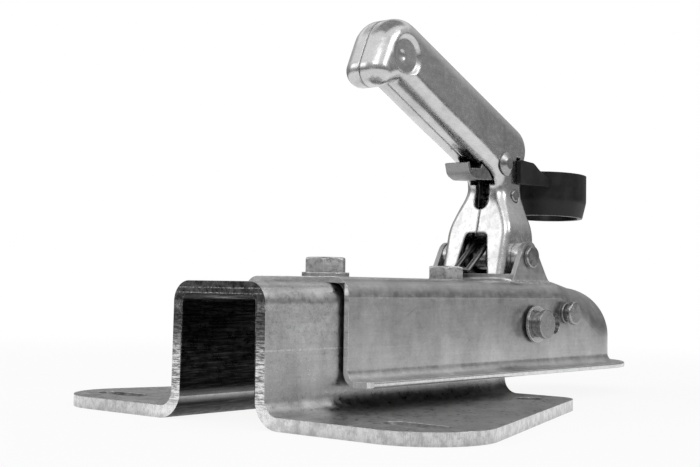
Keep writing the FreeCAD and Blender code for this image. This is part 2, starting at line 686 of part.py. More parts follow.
def make_pins():
    """Handle pivot, slot pin, jaw rivet, trigger pin and stay rivet."""
    ear_out = S["mouth_half"] + S["sheet"] + S["fit"]
    pivot_head = S["pivot_head"] / 2
    pivot = make_pin("handle_pivot_pin", S["pivot_x"], S["pivot_z"], [
        (ear_out, S["pivot_pin"] / 2, 0.0), (ear_out, pivot_head, 0.3),
        (ear_out + S["pivot_head_thick"], pivot_head, 0.9),
    ])
    wall = S["body_half"]
    neck, head = S["slide_neck"] / 2, S["slide_head"] / 2
    neck_start, neck_end = wall + S["slide_neck_gap"], wall + S["slide_neck_end"]
    slide = make_pin("slot_pin", S["slide_rear"], S["slide_z"], [
        (neck_start, S["slide_pin"] / 2, 0.0), (neck_start, neck, 0.3), (neck_end, neck, 0.0),
        (neck_end, head, 0.4), (neck_end + S["slide_head_thick"], head, 0.5),
    ])
    jaw_neck, jaw_head, flange = S["jaw_neck"] / 2, S["jaw_head"] / 2, S["jaw_flange"] / 2
    flange_end = wall + S["jaw_flange_thick"]
    head_start = flange_end + S["jaw_neck_long"]
    jaw = make_pin("jaw_rivet", S["jaw_x"], S["jaw_z"], [
        (wall, S["jaw_pin"] / 2, 0.0), (wall, flange, 0.4), (flange_end, flange, 0.5),
        (flange_end, jaw_neck, 0.0), (head_start, jaw_neck, 0.0), (head_start, jaw_head, 0.5),
        (head_start + S["jaw_head_thick"], jaw_head, 1.2),
    ])
    grip, lens = S["grip_half"], S["catch_head"] / 2
    rim = S["catch_head_thick"] * 0.32
    catch = make_pin("trigger_pin", S["pivot_x"] + S["catch_x"], S["pivot_z"] + S["catch_z"], [
        (grip, S["catch_pin"] / 2, 0.0), (grip, lens, 0.3), (grip + rim, lens, 0.5),
        (grip + S["catch_head_thick"], lens * 0.45, lens * 0.35),
    ])
    stay_head = S["stay_head"] / 2
    stay = make_pin("stay_rivet", S["pivot_x"] + S["stay_x"], S["pivot_z"] + S["stay_z"], [
        (grip, S["stay_pin"] / 2, 0.0), (grip, stay_head, 0.2),
        (grip + S["stay_head_thick"], stay_head, 0.9),
    ])
    return [pivot, slide, jaw, catch, stay]


def make_ring(label, x, z, start, thick, across, bore):
    """A flat ring across the part: start is its far face on Y, and it runs toward the near side."""
    outer = cross_rod(f"{label}_outer", x, z, start, thick, across)
    inner = cross_rod(f"{label}_bore", x, z, start + 1, thick + 2, bore)
    return cut(label, outer, inner)


def make_cross_rings():
    """Loose washers on the slot pin, and the spacers and bush on the handle pivot."""
    wall, thick = S["body_half"], S["slide_washer_thick"]
    bore = S["slide_neck"] + S["fit"] * 2
    gap = S["slide_washer_gap"]
    x, z = S["slide_rear"], S["slide_z"]
    near = make_ring("slot_washer_near", x, z, -(wall + gap), thick, S["slide_washer"], bore)
    far = make_ring("slot_washer_far", x, z, wall + gap + thick, thick, S["slide_washer"], bore)
    x, z = S["pivot_x"], S["pivot_z"]
    on_pin = S["pivot_pin"] + S["fit"] * 2
    space = S["mouth_half"] - S["fork_half"] - S["fit"] * 2
    wide = S["bush_wide"] + 2
    spacer_near = make_ring(
        "pivot_spacer_near", x, z, -(S["fork_half"] + S["fit"]), space, wide, on_pin)
    spacer_far = make_ring(
        "pivot_spacer_far", x, z, S["mouth_half"] - S["fit"], space, wide, on_pin)
    inside = S["fork_half"] - S["skin"] - S["fit"]
    bush = make_ring("pivot_bush", x, z, inside, inside * 2, S["bush_wide"], on_pin)
    return [near, far, spacer_near, spacer_far, bush]


def hexagon(label, x, z, high, chamfer_top, chamfer_bottom):
    """A hexagon with its corners turned off at one or both ends."""
    corner = S["bolt_flats"] / math.sqrt(3)
    prism = doc.addObject("Part::Prism", f"{label}_prism")
    prism.Polygon = 6
    prism.Placement = Placement(Vector(x.value, 0, z.value), Rotation(UP, HEX_TURN))
    for path, size in (("Placement.Base.x", x), ("Placement.Base.z", z), ("Circumradius", corner),
                       ("Height", high)):
        bind(prism, path, size)
    prism.Circumradius = corner.value
    prism.Height = high.value
    flat, slope = S["bolt_flats"] / 2, 0.58
    spread = high / slope
    tools = [prism]
    if chamfer_top:
        tools.append(solid("Cone", f"{label}_top", at=(x, 0.0, z), Radius1=flat + spread, Radius2=flat,
                           Height=high))
    if chamfer_bottom:
        tools.append(solid("Cone", f"{label}_under", at=(x, 0.0, z), Radius1=flat, Radius2=flat + spread,
                           Height=high))
    return common(f"{label}_hexagon", *tools)


HEX_TURN = 35.0


def make_bolt_set(place, x, top_washer):
    """A bolt through body and bracket, with or without a washer on top, and its nut and washer below."""
    on_top = S["hat_height"] + S["sheet"]
    under = S["hat_height"] - S["plate"]
    washer, nut_high, head = S["washer_thick"], S["bolt_nut"], S["bolt_head"]
    shank_end = under - washer - nut_high - S["thread_end"]
    seat = on_top + washer if top_washer else on_top
    radius = S["bolt_dia"] / 2
    hexa = hexagon(f"{place}_bolt", x, seat, head, True, False)
    face = solid("Cylinder", f"{place}_bolt_face", at=(x, 0.0, seat + head), Radius=S["bolt_flats"] * 0.46,
                 Height=0.15)
    shank = solid("Cylinder", f"{place}_bolt_shank", at=(x, 0.0, shank_end + 1), Radius=radius,
                  Height=seat - shank_end - 1)
    point = solid("Cone", f"{place}_bolt_point", at=(x, 0.0, shank_end), Radius1=radius - 1, Radius2=radius,
                  Height=1.0)
    bolt = join(f"{place}_bolt", hexa, face, shank, point)
    bore = S["bolt_dia"] + S["bolt_clear"]

    def flat_ring(label, z):
        disc = solid("Cylinder", f"{label}_disc", at=(x, 0.0, z), Radius=S["washer_wide"] / 2, Height=washer)
        hole = solid("Cylinder", f"{label}_hole", at=(x, 0.0, z - 1), Radius=bore / 2, Height=washer + 2)
        return cut(label, disc, hole)

    rings = [flat_ring(f"{place}_nut_washer", under - washer)]
    if top_washer:
        rings.append(flat_ring(f"{place}_bolt_washer", on_top))
    nut_base = under - washer - nut_high
    blank = hexagon(f"{place}_nut", x, nut_base, nut_high, True, True)
    thread = solid("Cylinder", f"{place}_nut_thread", at=(x, 0.0, nut_base - 1), Radius=radius,
                   Height=nut_high + 2)
    nut = cut(f"{place}_nut", blank, thread)
    return [bolt, nut, *rings]


# Side view of the handle in its raised pose, from the pivot, each corner with its radius.
HANDLE_CORNERS = [
    (-22.3, -30.0, 0.0),    # rear flange, carried on below the foot
    (-3.3, 46.5, 12.0),     # rear flange meets the underside
    (-59.0, 72.5, 70.0),    # underside of the grip
    (-98.5, 91.5, 6.0),     # hollow before the knob
    (-129.5, 80.0, 9.0),    # knob, low
    (-106.5, 132.1, 21.0),  # knob, top
    (30.0, 72.9, 15.0),     # elbow
    (19.5, 43.0, 24.0),     # front, under the elbow
    (17.2, 20.0, 40.0),     # front, at the waist
    (19.0, -4.0, 8.0),      # front, at the pivot
    (-1.8, -30.0, 0.0),     # front flange, carried on below the foot
]
LEG_ROUND_TOP, GRIP_ROUND_LOW = 30.0, 55.0    # heights over the pivot between which the rounding grows
SEAM_OVERCUT = 1.0
KNOB_DISH = (-97.0, 104.8)


def inset_corners(corners, inset):
    """Moves every side of an outline inward by inset, a size."""
    points = [Vector(x, y, 0) for x, y, _ in corners]
    count = len(points)
    area = sum(points[i].cross(points[(i + 1) % count]).z for i in range(count))
    inward = 1 if area > 0 else -1
    moved = []
    for i, (x, y, radius) in enumerate(corners):
        before = (points[i] - points[i - 1]).normalize()
        after = (points[(i + 1) % count] - points[i]).normalize()
        first = Vector(-before.y, before.x, 0) * inward
        second = Vector(-after.y, after.x, 0) * inward
        step = (first + second) / (1 + first.dot(second))
        hollow = before.cross(after).z * inward < 0
        new_radius = as_size(0.0)
        if radius:
            new_radius = radius + inset if hollow else radius - inset
        moved.append((x + inset * step.x, y + inset * step.y, new_radius))
    return moved


def at_pivot(body):
    body.Placement.Base = Vector(S["pivot_x"].value, 0, S["pivot_z"].value)
    bind(body, "Placement.Base.x", S["pivot_x"])
    bind(body, "Placement.Base.z", S["pivot_z"])


def round_rim(label, body, inset, seam_plane):
    """Rounds a handle form's outer rim, wider along the grip than along the legs."""
    legs, grip = (S[name].value - inset.value for name in ("leg_round", "grip_round"))
    pivot_height = S["pivot_z"].value

    def radius(point):
        share = (point.z - pivot_height - LEG_ROUND_TOP) / (GRIP_ROUND_LOW - LEG_ROUND_TOP)
        return legs + (grip - legs) * min(max(share, 0.0), 1.0)

    edges = []
    below_foot = pivot_height + HANDLE_CORNERS[0][1] + 5
    for number, edge in enumerate(body.Shape.Edges, start=1):
        box = edge.BoundBox
        on_seam = box.YMax > seam_plane - 0.5
        across = box.YLength < 0.01 and box.ZLength < 0.01
        if on_seam or across or box.ZMax < below_foot:
            continue
        ends = [edge.valueAt(at) for at in (edge.FirstParameter, edge.LastParameter)]
        if edge.Orientation == "Reversed":
            ends.reverse()
        edges.append((number, radius(ends[0]), radius(ends[1])))
    rounded = doc.addObject("Part::Fillet", f"{label}_rounding")
    rounded.Base = body
    rounded.Edges = edges
    doc.recompute()
    return rounded


def handle_form(label, inset, near_face):
    """The near half of the handle as a solid block, or with an inset its hollow."""
    body = new_body(f"{label}_block")
    at_pivot(body)
    near_face = as_size(near_face)
    side = new_sketch(body, f"{label}_side", "XZ_Plane", lift=near_face)
    outline(side, inset_corners(HANDLE_CORNERS, inset))
    leg, grip = S["fork_half"] - inset, S["grip_half"] - inset
    pad(body, f"{label}_blank", side, leg - near_face)
    taper = new_sketch(body, f"{label}_taper", "YZ_Plane")
    outside, low, high = 60.0, -40.0, 170.0
    outline(taper, [
        (-leg, low, 0.0), (-outside, low, 0.0), (-outside, high, 0.0), (-grip, high, 0.0),
        (-grip, S["waist_top"], S["waist_round"]), (-leg, S["waist_low"], S["waist_round"]),
    ])
    pocket(body, f"{label}_waist", taper, 400.0, both=True)
    doc.recompute()
    rounded = round_rim(label, body, inset, -near_face.value)
    if inset.value:
        return rounded
    below = solid("Box", f"{label}_below", Length=outside * 2, Width=outside * 2, Height=outside,
                  at=(S["pivot_x"] - outside, -outside, S["pivot_z"] - S["leg_foot"] - outside))
    return cut(label, rounded, below)


def arm_point(distance):
    """A point on the lower arm's centre line, from the pivot."""
    across = S["pivot_x"] - S["slide_rear"]
    down = S["pivot_z"] - S["slide_z"]
    length = root(across * across + down * down)
    return -(across / length * distance), -(down / length * distance)


def make_lower_arm():
    """Flat arm below the leg, with the slot that drives the slot pin."""
    body = new_body("Lower_arm")
    at_pivot(body)
    thick = S["skin"] - S["arm_thin"]
    plate = new_sketch(body, "Arm_plate", "XZ_Plane", lift=S["fork_half"] - thick)
    nearest = S["pivot_z"] - S["slide_z"]
    ahead = S["slide_rear"] + S["slide_run"] - S["pivot_x"]
    farthest = root(nearest * nearest + ahead * ahead)
    slot_outline(plate, (0.0, 0.0), arm_point(farthest + S["arm_play"] * 2), S["arm_half"])
    pad(body, "Arm_blank", plate, thick)
    drive = new_sketch(body, "Arm_slot", "XZ_Plane")
    play = S["arm_play"]
    half_slot = S["slide_pin"] / 2 + S["arm_slack"]
    slot_outline(drive, arm_point(nearest - play), arm_point(farthest + play), half_slot)
    pocket(body, "Arm_slot_cut", drive, S["fork_half"] * 4, both=True)
    doc.recompute()
    return body


def make_rear_openings():
    """Cutter through the rear flange: the window between the legs and the split above it."""
    body = new_body("Rear_openings")
    at_pivot(body)
    behind, ahead, below, above = 40.0, 4.0, -40.0, 20.0
    plan = new_sketch(body, "Rear_openings_plan", "YZ_Plane", lift=-behind)
    top, half, corner = S["window_top"], S["window_half"], S["window_corner"]
    wide = half + (top - below) * S["window_flare"]
    outline(plan, [(-half, top, corner), (half, top, corner), (wide, below, 0.0), (-wide, below, 0.0)])
    low = S["split_low"] + S["split_half"]
    slot_outline(plan, (0.0, low), (0.0, low + above), S["split_half"])
    pad(body, "Rear_openings_pad", plan, behind + ahead)
    doc.recompute()
    return body


def make_handle_halves():
    """Two pressed shells that meet in the middle: grip and knob above, two legs with lower arms below."""
    outside = handle_form("Handle_outside", as_size(0.0), S["seam"])
    inside = handle_form("Handle_inside", S["skin"], -SEAM_OVERCUT)
    px, pz = S["pivot_x"], S["pivot_z"]
    dish_x, dish_z = px + KNOB_DISH[0], pz + KNOB_DISH[1]
    grip, skin = S["grip_half"], S["skin"]
    depth, dish_wide, dish_floor = as_size(1.5), 11.8, 9.3
    press = solid("Cone", "Knob_press", at=(dish_x, -(grip - skin) - 0.01, dish_z), turn=AWAY,
                  Radius1=dish_wide + 0.2, Radius2=dish_floor + 0.3, Height=depth)
    stay_x, stay_z, seat = px + S["stay_x"], pz + S["stay_z"], S["stay_head"] + 1
    stay_seat = cross_rod("Stay_seat", stay_x, stay_z, -(grip - skin), skin * 2, seat)
    hollow = cut("Handle_hollow", inside, join("Handle_presses", press, stay_seat))
    shell = cut("Handle_shell", outside, hollow)
    body = weld("Handle_half_blank", shell, make_lower_arm())
    dish = solid("Cone", "Knob_dish", at=(dish_x, -grip - 0.01, dish_z), turn=AWAY,
                 Radius1=dish_wide, Radius2=dish_floor, Height=depth)
    ball, deep, behind = 8.0, 0.7, 3.5
    dimple_at = (dish_x - behind, -grip + depth + deep - ball, dish_z)
    dimple = solid("Sphere", "Knob_dimple", at=dimple_at, Radius=ball)
    reach = S["fork_half"] * 2
    catch_x, catch_z = px + S["catch_x"], pz + S["catch_z"]
    gap_half = S["catch_half"] + 0.8
    tools = [
        dish, dimple, make_rear_openings(),
        cross_rod("Pivot_bore", px, pz, 0.0, reach, S["pivot_pin"] + S["fit"] * 2),
        cross_rod("Catch_bore", catch_x, catch_z, 0.0, reach, S["catch_pin"]),
        cross_rod("Stay_bore", stay_x, stay_z, 0.0, reach, S["stay_pin"]),
        cross_rod("Stay_spot", stay_x, stay_z, -grip, reach, seat),
        solid("Box", "Prong_slot", at=(px + S["prong_x"] - S["prong_wide"] / 2, -reach, pz + S["prong_low"]),
              Length=S["prong_wide"], Width=reach - S["catch_half"], Height=S["prong_tall"]),
        solid("Box", "Catch_gap", at=(px - S["catch_gap_long"], -gap_half, pz + S["catch_gap_low"]),
              Length=S["catch_gap_long"], Width=gap_half + 1, Height=S["catch_gap_tall"]),
    ]
    near = cut("handle_near_half", body, join("Handle_openings", *tools))
    far = mirrored("handle_far_half", near)
    return [near, far]


AWAY = Rotation(Vector(1, 0, 0), -90)


def rod(label, start, end, across):
    """A round rod between two points; its start follows the sizes."""
    first, last = (Vector(*(as_size(part).value for part in point)) for point in (start, end))
    run = last - first
    turn = Rotation(UP, run)
    return solid("Cylinder", label, at=start, turn=turn, Radius=as_size(across) / 2, Height=run.Length)


def ball_end(label, spot, across):
    """A ball a hair wider than its wire, so that the two surfaces cross cleanly."""
    return solid("Sphere", label, at=spot, Radius=as_size(across) * 0.512)


def tangent_angle(across, up, radius, side):
    """Where a straight leg to (across, up) leaves its coil, in degrees from +X toward +Z."""
    across, up = as_size(across).value, as_size(up).value
    aim = math.degrees(math.atan2(up, across))
    turn = math.degrees(math.acos(radius.value / math.hypot(across, up)))
    return (aim + side * turn) % 360


QUARTER_TURN = 0.25    # turns in each face of a coil


def coil(label, x, z, y_start, mean, wire, pitch, turns, first_angle):
    """Wire wound clockwise, as the near side sees it, from first_angle, and on toward the near side."""
    helix = doc.addObject("Part::Helix", f"{label}_line")
    helix.LocalCoord = 1
    helix.SegmentLength = QUARTER_TURN
    helix.Pitch = pitch.value
    helix.Height = (pitch * turns).value
    helix.Radius = (mean / 2).value
    helix.Placement = Placement(
        Vector(x.value, as_size(y_start).value, z.value), TO_NEAR.multiply(Rotation(UP, first_angle)))
    for path, size in (("Pitch", pitch), ("Height", pitch * turns), ("Radius", mean / 2),
                       ("Placement.Base.x", x), ("Placement.Base.y", y_start), ("Placement.Base.z", z)):
        bind(helix, path, size)
    ring = doc.addObject("Part::Circle", f"{label}_section")
    radius = mean / 2
    start_x, start_z = x + radius * cosine(first_angle), z + radius * sine(first_angle)
    turned = math.radians(first_angle)
    rise = pitch.value / (2 * math.pi * radius.value)
    along = Vector(math.sin(turned), -rise, -math.cos(turned))
    ring.Placement = Placement(
        Vector(start_x.value, as_size(y_start).value, start_z.value), Rotation(UP, along))
    ring.Radius = (wire / 2).value
    for path, size in (("Radius", wire / 2), ("Placement.Base.x", start_x), ("Placement.Base.y", y_start),
                       ("Placement.Base.z", start_z)):
        bind(ring, path, size)
    doc.recompute()
    sweep = doc.addObject("Part::Sweep", f"{label}_wire")
    sweep.Sections = [ring]
    sweep.Spine = (helix, [f"Edge{n}" for n in range(1, len(helix.Shape.Edges) + 1)])
    sweep.Solid = True
    sweep.Frenet = True
    doc.recompute()
    return sweep


def make_handle_spring():
    """Double torsion spring on the bush: a bail on the rear rim of the opening, two legs in the handle."""
    x, z = S["pivot_x"], S["pivot_z"]
    wire, radius = S["coil_wire"], S["coil_mean"] / 2
    rest_x = S["mouth_rear"] - S["sheet"] / 2
    rest_z = S["hat_height"] + S["sheet"] + S["rim_rise"] + wire / 2 + S["fit"]
    leg_across, leg_up = as_size(12.6), as_size(11.95)
    bail_angle = tangent_angle(rest_x - x, rest_z - z, radius, -1)
    leg_angle = tangent_angle(leg_across, leg_up, radius, 1)
    pitch = wire * 1.07
    turns = S["coil_turns"] + (bail_angle - leg_angle) / 360
    start_y = -S["bail_gap"]
    wound = coil("Spring_coil", x, z, start_y, S["coil_mean"], wire, pitch, turns, bail_angle)
    leaves = (x + radius * cosine(bail_angle), start_y, z + radius * sine(bail_angle))
    rest = (rest_x, start_y, rest_z)
    leg_y = start_y - pitch * turns
    leg_start = (x + radius * cosine(leg_angle), leg_y, z + radius * sine(leg_angle))
    leg_end = (x + leg_across, leg_y, z + leg_up)
    near = join(
        "Spring_near", wound, ball_end("Spring_bail_root", leaves, wire),
        rod("Spring_bail", leaves, rest, wire), ball_end("Spring_bail_corner", rest, wire),
        ball_end("Spring_leg_root", leg_start, wire), rod("Spring_leg", leg_start, leg_end, wire),
        ball_end("Spring_leg_end", leg_end, wire))
    cross = rod("Spring_bail_cross", rest, (rest_x, S["bail_gap"], rest_z), wire)
    return join("handle_spring", near, mirrored("Spring_far", near), cross)


def make_trigger():
    """Catch under the grip: a finger lip between two cheeks, with arms down the inside of the legs."""
    cheek = new_body("Trigger_cheek")
    at_pivot(cheek)
    half, t = S["catch_half"], S["catch_sheet"]
    plate = new_sketch(cheek, "Cheek_outline", "XZ_Plane", lift=half - t)
    cx, cz, boss = S["catch_x"], S["catch_z"], 7.0
    outline(plate, [
        (-28.6, 48.4, 0.0), (-23.6, 45.6, 6.0), (0.6, 45.6, 3.0), (-2.0, 18.0, 2.0), (4.0, 18.0, 2.0),
        (4.0, 46.0, 4.0), (cx + boss, cz, 0.0), (cx + boss, cz + boss, boss - 0.4),
        (cx - boss, cz + boss, boss - 0.4), (cx - boss, cz + 3.6, 0.0), (-15.8, 58.2, 1.5), (-19.0, 51.3, 1.5),
        (-28.2, 50.8, 0.0),
    ])
    pad(cheek, "Cheek_blank", plate, t)
    far = mirrored("Trigger_far_cheek", cheek)
    lip = new_body("Trigger_lip")
    at_pivot(lip)
    strip = new_sketch(lip, "Lip_outline", "XZ_Plane")
    outline(strip, [
        (-32.8, 53.6, 0.0), (-30.8, 47.0, 5.0), (-24.0, 44.4, 8.0), (-7.0, 45.4, 0.0), (-7.2, 47.5, 0.0),
        (-23.6, 46.6, 6.0), (-29.0, 48.6, 3.0), (-30.9, 54.2, 0.0),
    ])
    pad(lip, "Lip_blank", strip, half * 2, both=True)
    doc.recompute()
    whole = join("Trigger_blank", cheek, far, lip)
    x, z = S["pivot_x"] + cx, S["pivot_z"] + cz
    bore = cross_rod("Trigger_bore", x, z, S["fork_half"], S["fork_half"] * 2, S["catch_pin"] + S["fit"] * 2)
    return cut("trigger", whole, bore)


def make_trigger_spring():
    """Small torsion spring on the trigger pin, one leg on the lip and one under the handle's top."""
    x, z = S["pivot_x"] + S["catch_x"], S["pivot_z"] + S["catch_z"]
    wire, radius = S["catch_wire"], S["catch_coil"] / 2
    lip_across, lip_up = -18.0, -7.25
    top_across, top_up = 10.0, 23.2
    lip_angle = tangent_angle(lip_across, lip_up, radius, -1)
    top_angle = tangent_angle(top_across, top_up, radius, 1)
    pitch = wire * 1.25
    turns = as_size(2 + (lip_angle - top_angle + 360) / 360)
    start_y = pitch * turns / 2
    end_y = -start_y
    wound = coil("Catch_coil", x, z, start_y, S["catch_coil"], wire, pitch, turns, lip_angle)
    lip_start = (x + radius * cosine(lip_angle), start_y, z + radius * sine(lip_angle))
    lip_end = (x + lip_across, start_y, z + lip_up)
    top_start = (x + radius * cosine(top_angle), end_y, z + radius * sine(top_angle))
    top_end = (x + top_across, end_y, z + top_up)
    return join(
        "trigger_spring", wound, ball_end("Catch_leg_low_root", lip_start, wire),
        rod("Catch_leg_low", lip_start, lip_end, wire), ball_end("Catch_leg_low_end", lip_end, wire),
        ball_end("Catch_leg_top_root", top_start, wire), rod("Catch_leg_top", top_start, top_end, wire),
        ball_end("Catch_leg_top_end", top_end, wire))


def make_plug_holder():
    """Plastic cup ring for the trailer plug, on two arms that clip into the handle's side slots."""
    ring = new_body("Plug_ring")
    ring.Placement.Base = Vector(S["ring_x"].value, 0, 0)
    bind(ring, "Placement.Base.x", S["ring_x"])
    section = new_sketch(ring, "Ring_section", "XZ_Plane")
    out, wall, thin = S["ring_out"], S["ring_wall"], S["ring_narrow"]
    top, waist, low = S["ring_top"] + 2, S["ring_waist"], S["ring_bottom"] - 2
    outline(section, [
        (out, top, 0.0), (out, waist, 12.0), (out - thin, low, 0.0), (out - thin - wall, low, 0.0),
        (out - wall, waist, 12.0), (out - wall, top, 0.0),
    ])
    spin(ring, "Ring_wall", section)
    doc.recompute()
    parts = [ring]
    px, pz = S["pivot_x"], S["pivot_z"]
    grip, inner = S["grip_half"], out - wall
    arm = new_body("Plug_arm")
    at_pivot(arm)
    arm_gap = 0.3
    near_face = grip + arm_gap
    side = new_sketch(arm, "Plug_arm_outline", "XZ_Plane", lift=near_face)
    rear = S["prong_x"] - S["prong_wide"] / 2
    end = S["ring_x"] - S["pivot_x"] - root(inner * inner - near_face * near_face) - 0.3
    low, high = S["prong_low"], S["prong_low"] + S["prong_tall"]
    outline(side, [
        (rear, low - 0.4, 1.0), (21.0, low - 0.4, 6.0), (end, low + 0.1, 0.0), (end, low + 3.6, 0.0),
        (31.4, low + 9.3, 12.0), (24.8, high - 2.4, 6.0), (rear, high - 1.6, 1.0),
    ])
    pad(arm, "Plug_arm_blank", side, wall)
    doc.recompute()
    clear, hook_thick = S["prong_slack"], 1.4
    prong = solid("Box", "Plug_prong", at=(px + rear + clear, -(near_face + 1), pz + low + clear),
                  Length=S["prong_wide"] - 2 * clear, Width=arm_gap * 3 + S["skin"] + hook_thick + 1,
                  Height=S["prong_tall"] - 2 * clear - 1.6)
    hook_at = (px + rear + clear, -(grip - S["skin"] - arm_gap * 2), pz + low + 2.5)
    hook = solid("Box", "Plug_hook", at=hook_at, Length=S["prong_wide"] + clear, Width=hook_thick,
                 Height=S["prong_tall"] - 5)
    near = join("Plug_near", arm, prong, hook)
    parts += [near, mirrored("Plug_far", near)]
    rib_wide, rib_root = 1.4, 0.6
    count = round(math.tau * inner.value / S["rib_pitch"].value)
    arm_side = 40
    for step in range(count):
        angle = (step + 0.5) * 360 / count
        if abs(angle - 180) < arm_side:
            continue
        at = inner - S["rib_deep"]
        rib = solid("Box", f"Plug_rib_{step + 1}", turn=Rotation(UP, angle), Length=S["rib_deep"] + rib_root,
                    at=(S["ring_x"] + at * cosine(angle), at * sine(angle), waist), Width=rib_wide,
                    Height=S["ring_top"] - waist - 4)
        parts.append(rib)
    whole = join("Plug_blank", *parts)
    tilt = S["ring_drop"] / (out * 2)
    reach, deep = 80.0, 40.0
    turn = Rotation(Vector(0, 1, 0), math.degrees(math.atan(tilt.value)))
    above_at = (S["ring_x"] - out - 4.0, -reach, S["ring_top"] + 4 * tilt)
    above = solid("Box", "Plug_above", at=above_at, turn=turn, Length=reach, Width=reach * 2, Height=deep)
    under_at = (S["ring_x"] - out - 2.5, -reach, S["ring_bottom"] - deep + S["ring_drop"] / 2)
    under = solid("Box", "Plug_under", at=under_at, turn=turn, Length=reach, Width=reach * 2, Height=deep)
    return cut("plug_holder", whole, join("Plug_trim", above, under))


def swung(points, angle):
    """Turns points clockwise, as the near side sees them, about their origin."""
    turned = []
    for x, z, radius in points:
        turned.append((x * cosine(angle) + z * sine(angle), z * cosine(angle) - x * sine(angle), radius))
    return turned


def make_jaw():
    """Locking jaw, drawn open: a tail the slot pin presses down, and a hollow face behind the ball."""
    body = new_body("Jaw_blank")
    body.Placement.Base = Vector(S["jaw_x"].value, 0, S["jaw_z"].value)
    bind(body, "Placement.Base.x", S["jaw_x"])
    bind(body, "Placement.Base.z", S["jaw_z"])
    boss, swing = S["jaw_boss"], S["jaw_swing"]
    side = new_sketch(body, "Jaw_side", "XZ_Plane")
    ball_x, ball_z = S["ball_x"] - S["jaw_x"], S["ball_z"] - S["jaw_z"]
    tip = ball_z - S["jaw_lip"]
    face = swung([
        (as_size(17.0), as_size(-7.0), 2.0), (as_size(26.0), ball_z, 0.0), (as_size(24.0), tip, 1.0),
        (as_size(17.5), tip - 2, 3.0), (as_size(8.0), tip + 1, 6.0), (as_size(-2.0), as_size(-19.0), 12.0),
    ], swing)
    outline(side, [
        (-boss, boss, boss - 0.1), (boss, boss, boss - 0.1), *face, (-44.0, -19.0, 2.5), (-45.5, -14.3, 1.5),
        (-36.7, -12.4, 4.0), (-25.6, -9.65, 8.0), (-12.5, -9.3, 3.0), (-boss, -5.5, 0.0),
    ])
    pad(body, "Jaw_pad", side, S["jaw_half"] * 2, both=True)
    bore = new_sketch(body, "Jaw_bore", "XZ_Plane")
    circles(bore, [(0.0, 0.0, S["jaw_pin"] + S["fit"] * 2)])
    pocket(body, "Jaw_bore_cut", bore, S["jaw_half"] * 4, both=True)
    doc.recompute()
    centre = swung([(ball_x, ball_z, 0.0)], swing)[0]
    hollow = solid("Sphere", "Jaw_hollow", at=(S["jaw_x"] + centre[0], 0.0, S["jaw_z"] + centre[1]),
                   Radius=S["ball_dia"] / 2 + 0.4)
    return cut("locking_jaw", body, hollow)


def make_ball_cup():
    """Pressed seat over the ball, wrapping under it in front and open behind for the jaw."""
    x, z, ball = S["ball_x"], S["ball_z"], S["ball_dia"] / 2 + S["ball_play"]
    wall, wrap = S["cup_wall"], S["cup_wrap"]
    spot = (x, 0.0, z)
    wide = 60.0
    outer = solid("Sphere", "Cup_outer", at=spot, Radius=ball + wall)
    upper = solid("Box", "Cup_upper", at=(x - wide, -wide, z), Length=wide * 2, Width=wide * 2, Height=wide)
    low = (x - 2, -wide, z - wrap)
    front = solid("Box", "Cup_front", at=low, Length=wide, Width=wide * 2, Height=wrap + 1)
    shell = common("Cup_dome", outer, join("Cup_zone", upper, front))
    inside = S["body_half"] - S["sheet"]
    disc = solid("Cylinder", "Cup_disc", at=(x, 0.0, z - wrap), Radius=inside, Height=wall)
    zone = solid("Box", "Cup_flange_zone", at=low, Length=wide, Width=wide * 2, Height=wall)
    rim = common("Cup_rim", disc, zone)
    hollow = solid("Sphere", "Cup_hollow", at=spot, Radius=ball)
    relief = solid("Box", "Cup_jaw_relief", at=(x - wide, -(S["jaw_half"] + 1), z - wide), Length=wide - 8,
                   Width=(S["jaw_half"] + 1) * 2, Height=wide + 11)
    return cut("ball_cup", join("Cup_blank", shell, rim), join("Cup_openings", hollow, relief))


NODES = [make_bracket(), make_coupling_body()]
NODES += make_pins()
NODES += make_cross_rings()
NODES += make_bolt_set("rear", S["bolt_rear"], True)
NODES += make_bolt_set("front", S["bolt_front"], False)
NODES += make_handle_halves()
NODES += [make_handle_spring(), make_trigger(), make_trigger_spring(), make_plug_holder()]
NODES += [make_jaw(), make_ball_cup()]
doc.recompute()

for item in doc.Objects:
    broken = [state for state in item.State if state in ("Invalid", "Error")]
    if broken:
        raise RuntimeError(f"{item.Name} is {broken}")
for item in NODES:
    if item.Shape.isNull() or not item.Shape.isValid() or len(item.Shape.Solids) != 1:
        raise RuntimeError(f"{item.Label} is not one sound solid")
os.makedirs("parts", exist_ok=True)
for item in NODES:
    item.Shape.exportStep(f"parts/{item.Label}.step")
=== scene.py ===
"""Dresses the trailer coupling head: plated steel, black plastic, bolt threads, and a plain studio."""
import math
from collections import namedtuple

import bpy
from mathutils import Matrix, Vector


